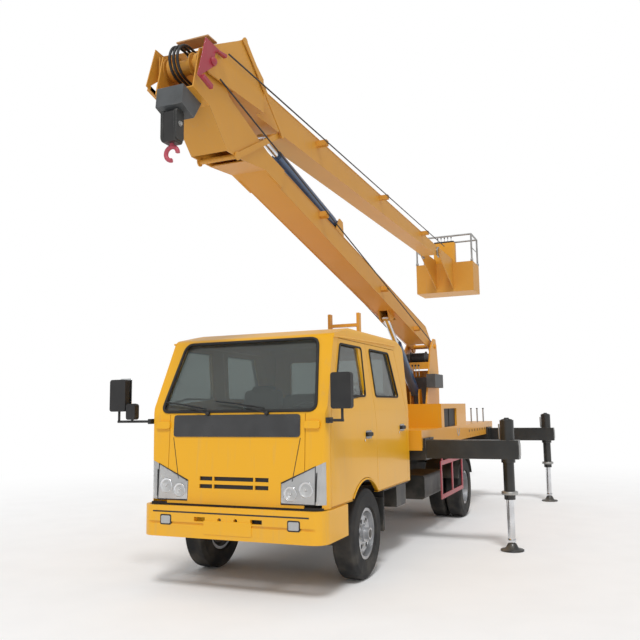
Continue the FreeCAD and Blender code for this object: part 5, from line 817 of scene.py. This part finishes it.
def hose_loop(name, x):
    """A stiff hose that leaves the lower head, goes round the shaft and ends above it."""
    way = [(x, y, z) for y, z in HOSE_ROUTE]
    loop = bar(name, way, HOSE_RADIUS, hose_rubber, "lower_boom")
    centre_length(loop)
    for end, place in (("foot", way[0]), ("top", way[-1])):
        turned(f"{name}_{end}_nut", HOSE_NUT, place, (0, -1, 0), steel, "lower_boom", 6, smooth=False)


def centre_length(hose):
    """The real length of a hose, along its own smooth line."""
    thin = hose.data.copy()
    thin.bevel_depth = 0
    probe = bpy.data.objects.new("probe", thin)
    line = bpy.data.meshes.new_from_object(probe)
    runs = ([line.vertices[end].co for end in edge.vertices] for edge in line.edges)
    total = sum((first - second).length for first, second in runs)
    bpy.data.objects.remove(probe)
    bpy.data.meshes.remove(line)
    bpy.data.curves.remove(thin)
    return round(total, 3)


def on_box_top(along, above=0.0):
    """Y and Z of a place over the lower boom's tapering top."""
    return lower(along, BOX_TOP + above - (along - BOX_START) * BOX_FALL / BOX_LONG)


def dress_booms():
    """Weld beads along the box booms, the bolts of the pivot caps, and pipes with clips on the lower boom."""
    for label, sign in SIDES:
        x = sign * BOX_HALF
        for edge, ends in LOWER_WELDS.items():
            bar(f"lower_weld_{edge}_{label}", [(x, *lower(*end)) for end in ends], WELD_RADIUS, boom_paint,
                "lower_boom", smooth=False, steps=2)
        bar(f"upper_weld_top_{label}", [(sign * UPPER_HALF, *upper(*end)) for end in UPPER_WELD], WELD_RADIUS,
            boom_paint, "upper_boom", smooth=False, steps=2)
        bolt_ring(f"pivot_cap_bolts_{label}", (sign * 0.196, *LUFF_PIVOT), (sign, 0, 0), 0.045, 6, 0.008,
                  "lower_boom")
    for number, along in enumerate(CLIP_STATIONS):
        y, z = on_box_top(along)
        clip = rounded_box(-0.05, 0.05, y - 0.02, y + 0.02, 0.006)
        plate(f"hose_clip_{number}", "z", z - 0.006, z + 0.024, clip, trim_black, "lower_boom", 0.003)
    for number, x in enumerate(PIPES):
        way = [(x, *on_box_top(along, 0.012)) for along in PIPE_STATIONS]
        bar(f"boom_pipe_{number}", way, 0.009, steel, "lower_boom")


dress_elbow()
dress_booms()

# Wheels
NUT_CIRCLE, NUT_COUNT, NUT_RADIUS = 0.1, 6, 0.014
NUT_FACES = {"front": 0.795, "rear": 0.78}
HUB_CAP = [(0.03, 0.046), (0.058, 0.044), (0.066, 0.036), (0.066, 0.012), (0.0665, 0.002)]
BLOCK_COUNT, BLOCK_SHARE, BLOCK_HALF, BLOCK_FOOT = 46, 0.37, 0.0165, 0.379
BLOCK_ROWS = ((-0.062, 0.3865), (-0.021, 0.3885), (0.021, 0.3885), (0.062, 0.3865))  # X and outer radius
BLOCK_FACES = ((4, 5, 7, 6), (0, 4, 6, 2), (1, 3, 7, 5), (0, 1, 5, 4), (2, 6, 7, 3))


def dress_wheels():
    """Tread blocks, wheel nuts and the front hub caps."""
    for label, sign in SIDES:
        front, rear = f"front_wheel_{label}", f"rear_wheels_{label}"
        tread(f"front_tread_{label}", sign * FRONT_HUB.x, FRONT_HUB, front)
        for twin, shift in (("outer", TWIN_HALF), ("inner", -TWIN_HALF)):
            tread(f"rear_tread_{twin}_{label}", sign * (REAR_HUB.x + shift), REAR_HUB, rear)
        for end, hub, body in (("front", FRONT_HUB, front), ("rear", REAR_HUB, rear)):
            place = (sign * NUT_FACES[end], hub.y, hub.z)
            bolt_ring(f"{end}_nuts_{label}", place, (sign, 0, 0), NUT_CIRCLE, NUT_COUNT, NUT_RADIUS, body)
            if end == "front":
                turned(f"front_hub_cap_{label}", HUB_CAP, place, (sign, 0, 0), frame_black, body)


def tread(name, x, hub, body):
    """Four rows of blocks round one tyre, every other row half a block on."""
    shape = bmesh.new()
    half = BLOCK_SHARE * FULL_TURN / BLOCK_COUNT
    for row, (offset, outer) in enumerate(BLOCK_ROWS):
        for middle in even_angles(BLOCK_COUNT, 0.5 * (row % 2)):
            places = [(at, y, z) for reach in (BLOCK_FOOT, outer)
                      for at, y, z in round_x(x + offset, hub.yz, reach, (middle - half, middle + half))]
            corners = [shape.verts.new((at + side, y, z)) for at, y, z in places
                       for side in (-BLOCK_HALF, BLOCK_HALF)]
            for face in BLOCK_FACES:
                shape.faces.new([corners[i] for i in face])
    set_on(name, shape, tyre_rubber, body)


dress_wheels()

# Outriggers, deck and turret
UPRIGHT = (0, 0, 1)
COLLAR = [(0, 0.081), (0.004, 0.084), (0.03, 0.084), (0.034, 0.08)]
JACK_CAP = [(0, 0.06), (0.012, 0.058), (0.018, 0.03), (0.03, 0.022)]
FOOT_BOOT = [(0.001, 0.1195), (0.014, 0.1195), (0.018, 0.112), (0.024, 0.07), (0.07, 0.045), (0.078, 0.04)]
COLLAR_HEIGHT, JACK_TOP, JACK_BOLTS = 0.57, 1.335, 1.339
PIPE_LINE = ((0.083, 1.3), (0.083, 1.15), (0.079, 1.14))  # inwards of the jack's middle, and height
POSTS, POST_STATION, POST_CAP = (0.73, 0.825, 0.92), 2.5, [(0, 0.014), (0.012, 0.014), (0.016, 0.008)]
HOLE_FIRST, HOLE_STEP, HOLE_COUNT, HOLE_CLEAR = 1.2, 0.2, 9, 0.13
LASH_LINE = ((0.4, 1.2), (0.4, 1.13), (0.46, 1.1), (0.52, 1.13), (0.52, 1.2))
LOCKERS = ((-0.36, 0.02), (0.06, 0.44), (0.48, 0.94))
SLEW_TOP, SLEW_CIRCLE = (0, 2.1, 1.352), 0.447
VALVE_LINE = ((1.75, 1.96), (1.74, 2.06), (1.72, 2.12))
LEVER_KNOB = [(0, 0.006), (0.006, 0.014), (0.02, 0.016), (0.03, 0.008)]
WINCH, ROPE_CIRCLE, ROPE_RADIUS, ROPE_TURNS, ROPE_STEP = (2.11, 2.262), 0.078, 0.0095, 11, 0.02


def dress_outriggers():
    """Each jack's collar, cap, foot boot, pipe and bolts, and the plate on its beam's end."""
    for corner, sign in CORNERS:
        x, y, z = LEGS[corner]
        beam = f"beam_{corner}"
        turned(f"jack_collar_{corner}", COLLAR, (x, y, COLLAR_HEIGHT), UPRIGHT, steel, beam, 40)
        turned(f"jack_cap_{corner}", JACK_CAP, (x, y, JACK_TOP), UPRIGHT, outrigger_black, beam)
        turned(f"foot_boot_{corner}", FOOT_BOOT, (x, y, 0.001), UPRIGHT, outrigger_black, f"leg_{corner}", 40)
        end = rounded_box(y - 0.055, y + 0.055, 0.965, 1.1, 0.02)
        plate(f"beam_end_plate_{corner}", "x", *span(sign, 1.958, 1.968), end, steel, beam, 0.003)
        pipe = [(x - sign * inwards, y, up) for inwards, up in PIPE_LINE]
        bar(f"jack_pipe_{corner}", pipe, 0.008, steel, beam)
        bolt_ring(f"jack_bolts_{corner}", (x, y, JACK_BOLTS), UPRIGHT, 0.045, 4, 0.007, beam)


def dress_deck():
    """The three posts, the holes in the deck's edge, the lashing rings, and painted shade: dark plates in the
    lockers' open bays.
    """
    for number, x in enumerate(POSTS):
        post = [(x, POST_STATION, 1.232), (x, POST_STATION, 1.45)]
        bar(f"deck_post_{number}", post, 0.011, steel, "truck", smooth=False)
        turned(f"deck_post_cap_{number}", POST_CAP, (x, POST_STATION, 1.44), UPRIGHT, trim_black, "truck", 16)
    for label, sign in SIDES:
        beam = LEGS[f"rear_{label}"].y
        for number in range(HOLE_COUNT):
            y = HOLE_FIRST + number * HOLE_STEP
            if abs(y - beam) >= HOLE_CLEAR:
                turned(f"deck_hole_{label}_{number}", [(0, 0.02), (0.0025, 0.019)], (sign * 0.9495, y, 1.14),
                       (sign, 0, 0), trim_black, "truck", 20)
        lash = [(sign * 0.951, y, z) for y, z in LASH_LINE]
        bar(f"lashing_ring_{label}", lash, 0.007, steel, "truck")
        # Dark plates in the lockers' open bays: painted shade for the shadow inside them.
        for number, (low, high) in enumerate(LOCKERS):
            front = rounded_box(low, high, 1.1, 1.47, 0.02)
            plate(f"painted_locker_shade_{label}_{number}", "x", *span(sign, 0.915, 0.925), front, trim_black,
                  "truck", 0.002)


def dress_turret():
    """The slew ring's bolts, the valves' levers and the winch rope's turns."""
    bolt_ring("slew_bolts", SLEW_TOP, UPRIGHT, SLEW_CIRCLE, 28, 0.012, "turret")
    for number in range(5):
        x = -0.1 + number * 0.05
        bar(f"valve_lever_{number}", [(x, y, z) for y, z in VALVE_LINE], 0.006, steel, "turret")
        turned(f"lever_knob_{number}", LEVER_KNOB, (x, 1.72, 2.11), (0, -0.1, 1), trim_black, "turret", 16)
    for number in range(ROPE_TURNS):
        x = -0.1 + number * ROPE_STEP
        ring = round_x(x, WINCH, ROPE_CIRCLE, even_angles(16))
        bar(f"winch_turn_{number}", ring, ROPE_RADIUS, wire_rope, "turret", closed=True, steps=2)


# Basket and hook
STAND_FOOT, STAND_TOP, STAND_FACE = 4.14, 4.6, 4.63
STAND_KNOB = [(0, 0.005), (0.006, 0.012), (0.018, 0.013), (0.026, 0.006)]
POST_FOOT, POST_HALF = [(0, 0.026), (0.04, 0.026), (0.046, 0.019)], 0.017
BLOCK_CHEEK, CHEEK_HALF = (0.046, 0.071), 0.052


def dress_basket():
    """The control stand with its levers, the feet of the corner posts and the band at the rear."""
    low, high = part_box("basket_rails")
    tub_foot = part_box("basket_tub")[0].z
    stand = rounded_box(-0.205, 0.205, 4.2, 4.36, 0.03)
    plate("control_stand", "z", STAND_FOOT, STAND_TOP, stand, body_paint, "basket", 0.01)
    face = rounded_box(-0.19, 0.19, 4.21, 4.35, 0.02)
    plate("control_face", "z", STAND_TOP, STAND_FACE, face, trim_black, "basket", 0.006)
    for number in range(5):
        x = -0.13 + number * 0.065
        bar(f"stand_lever_{number}", [(x, 4.28, 4.62), (x, 4.285, 4.7)], 0.005, steel, "basket", smooth=False)
        turned(f"stand_knob_{number}", STAND_KNOB, (x, 4.286, 4.695), UPRIGHT, trim_black, "basket", 14)
    for label, sign in SIDES:
        for number, y in enumerate((low.y + POST_HALF, high.y - POST_HALF)):
            place = (sign * (high.x - POST_HALF), y, 4.2)
            turned(f"post_foot_{label}_{number}", POST_FOOT, place, UPRIGHT, steel, "basket", 20)
    band = rounded_box(-0.5, 0.5, tub_foot + 0.06, tub_foot + 0.1, 0.004)
    plate("tub_band", "y", high.y, high.y + 0.006, band, body_paint, "basket", 0.002)


def dress_hook():
    """Cheek plates on the hoist block, with a bolt in each."""
    low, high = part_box("hook_block")
    middle = (low.y + high.y) / 2
    for label, sign in SIDES:
        cheek = rounded_box(middle - CHEEK_HALF, middle + CHEEK_HALF, 3.49, 3.73, 0.03, 6)
        plate(f"block_cheek_{label}", "x", *span(sign, *BLOCK_CHEEK), cheek, frame_black, "hook", 0.004)
        place = (sign * BLOCK_CHEEK[1], middle, 3.62)
        bolt_heads(f"block_bolt_{label}", [place], (sign, 0, 0), 0.016, "hook", [(0, 1.35), (0.2, 1.3)],
                   [(0.18, 1), (0.72, 1), (0.85, 0.8)], 16)


dress_outriggers()
dress_deck()
dress_turret()
dress_basket()
dress_hook()

# Camera, light and floor
CAMERA_PLACE = Vector((2.9886, -8.9985, 1.5011))
YAW, PITCH, ROLL = 0.4005, 0.1228, -0.0147
LENS_MM, SENSOR_MM, FAR_CLIP = 39.83, 36.0, 400
FLOOR_REACH, FLOOR_FADE = 120.0, (4.0, 11.0)
FLOOR_GREYS = ((0.93, 0.93, 0.93), (0.96, 0.96, 0.96))
SUN_FROM, SUN_STRENGTH, SUN_SPREAD = Vector((0.25, -0.62, 0.95)), 1.5, math.radians(14)
SKY_UNSEEN, SKY_SEEN = 0.6, 1.0


def set_camera():
    """The photograph's own viewpoint, worked out from the wheelbase and the cab."""
    ahead = Vector((-math.sin(YAW) * math.cos(PITCH), math.cos(YAW) * math.cos(PITCH), math.sin(PITCH)))
    level = Vector((math.cos(YAW), math.sin(YAW), 0))
    above = level.cross(ahead)
    right = level * math.cos(ROLL) + above * math.sin(ROLL)
    top = above * math.cos(ROLL) - level * math.sin(ROLL)
    data = bpy.data.cameras.new("photograph_view")
    data.lens, data.sensor_width, data.sensor_fit = LENS_MM, SENSOR_MM, "HORIZONTAL"
    data.clip_end = FAR_CLIP
    camera = in_scene("photograph_view", data)
    camera.matrix_world = Matrix((right, top, -ahead)).transposed().to_4x4()
    camera.location = CAMERA_PLACE
    bpy.context.scene.camera = camera


def seen_directly(tree):
    """1 for rays from the camera, also through glass."""
    ray = add_node(tree, "LightPath").outputs
    return maths(tree, "MAXIMUM", ray["Is Camera Ray"], ray["Is Transmission Ray"])


def set_floor():
    """A pale floor that keeps the truck's shadow and fades to white well clear of it."""
    mesh = bpy.data.meshes.new("floor")
    corners = [(x, y, 0) for x, y in box_outline(-FLOOR_REACH, FLOOR_REACH, -FLOOR_REACH, FLOOR_REACH)]
    mesh.from_pydata(corners, [], [(0, 1, 2, 3)])
    floor = in_scene("floor", mesh)
    pale, tree, shader = new_finish("studio_floor", Roughness=0.9, Specular_IOR_Level=0.1)
    far = add_node(tree, "VectorMath", operation="LENGTH")
    feed(tree, own_place(tree), far.inputs[0])
    clear = band(tree, far.outputs["Value"], *FLOOR_FADE)
    grain = band(tree, noise_at(tree, 2.0), 0.2, 0.8)
    feed_all(tree, shader, Base_Color=blend_colours(tree, grain, *FLOOR_GREYS))
    white = add_node(tree, "Emission")
    mixed = add_node(tree, "MixShader")
    share = maths(tree, "MULTIPLY", clear, seen_directly(tree))
    for slot, source in zip(mixed.inputs, (share, shader.outputs[0], white.outputs[0])):
        feed(tree, source, slot)
    feed_all(tree, tree.nodes["Material Output"], Surface=mixed.outputs[0])
    mesh.materials.append(pale)


def set_light():
    """Even daylight: a pale sky all round and one soft sun from the front left."""
    world = bpy.data.worlds.new("studio")
    bpy.context.scene.world = world
    world.use_nodes = True
    tree = world.node_tree
    sky = tree.nodes["Background"]
    more = maths(tree, "MULTIPLY", seen_directly(tree), SKY_SEEN - SKY_UNSEEN)
    feed_all(tree, sky, Color=(1, 1, 1), Strength=maths(tree, "ADD", more, SKY_UNSEEN))
    sun = bpy.data.lights.new("soft_sun", "SUN")
    sun.energy, sun.angle = SUN_STRENGTH, SUN_SPREAD
    lamp = in_scene("soft_sun", sun)
    lamp.rotation_euler = SUN_FROM.to_track_quat("Z", "Y").to_euler()


set_camera()
set_floor()
set_light()
bpy.context.scene.view_settings.view_transform = "Standard"
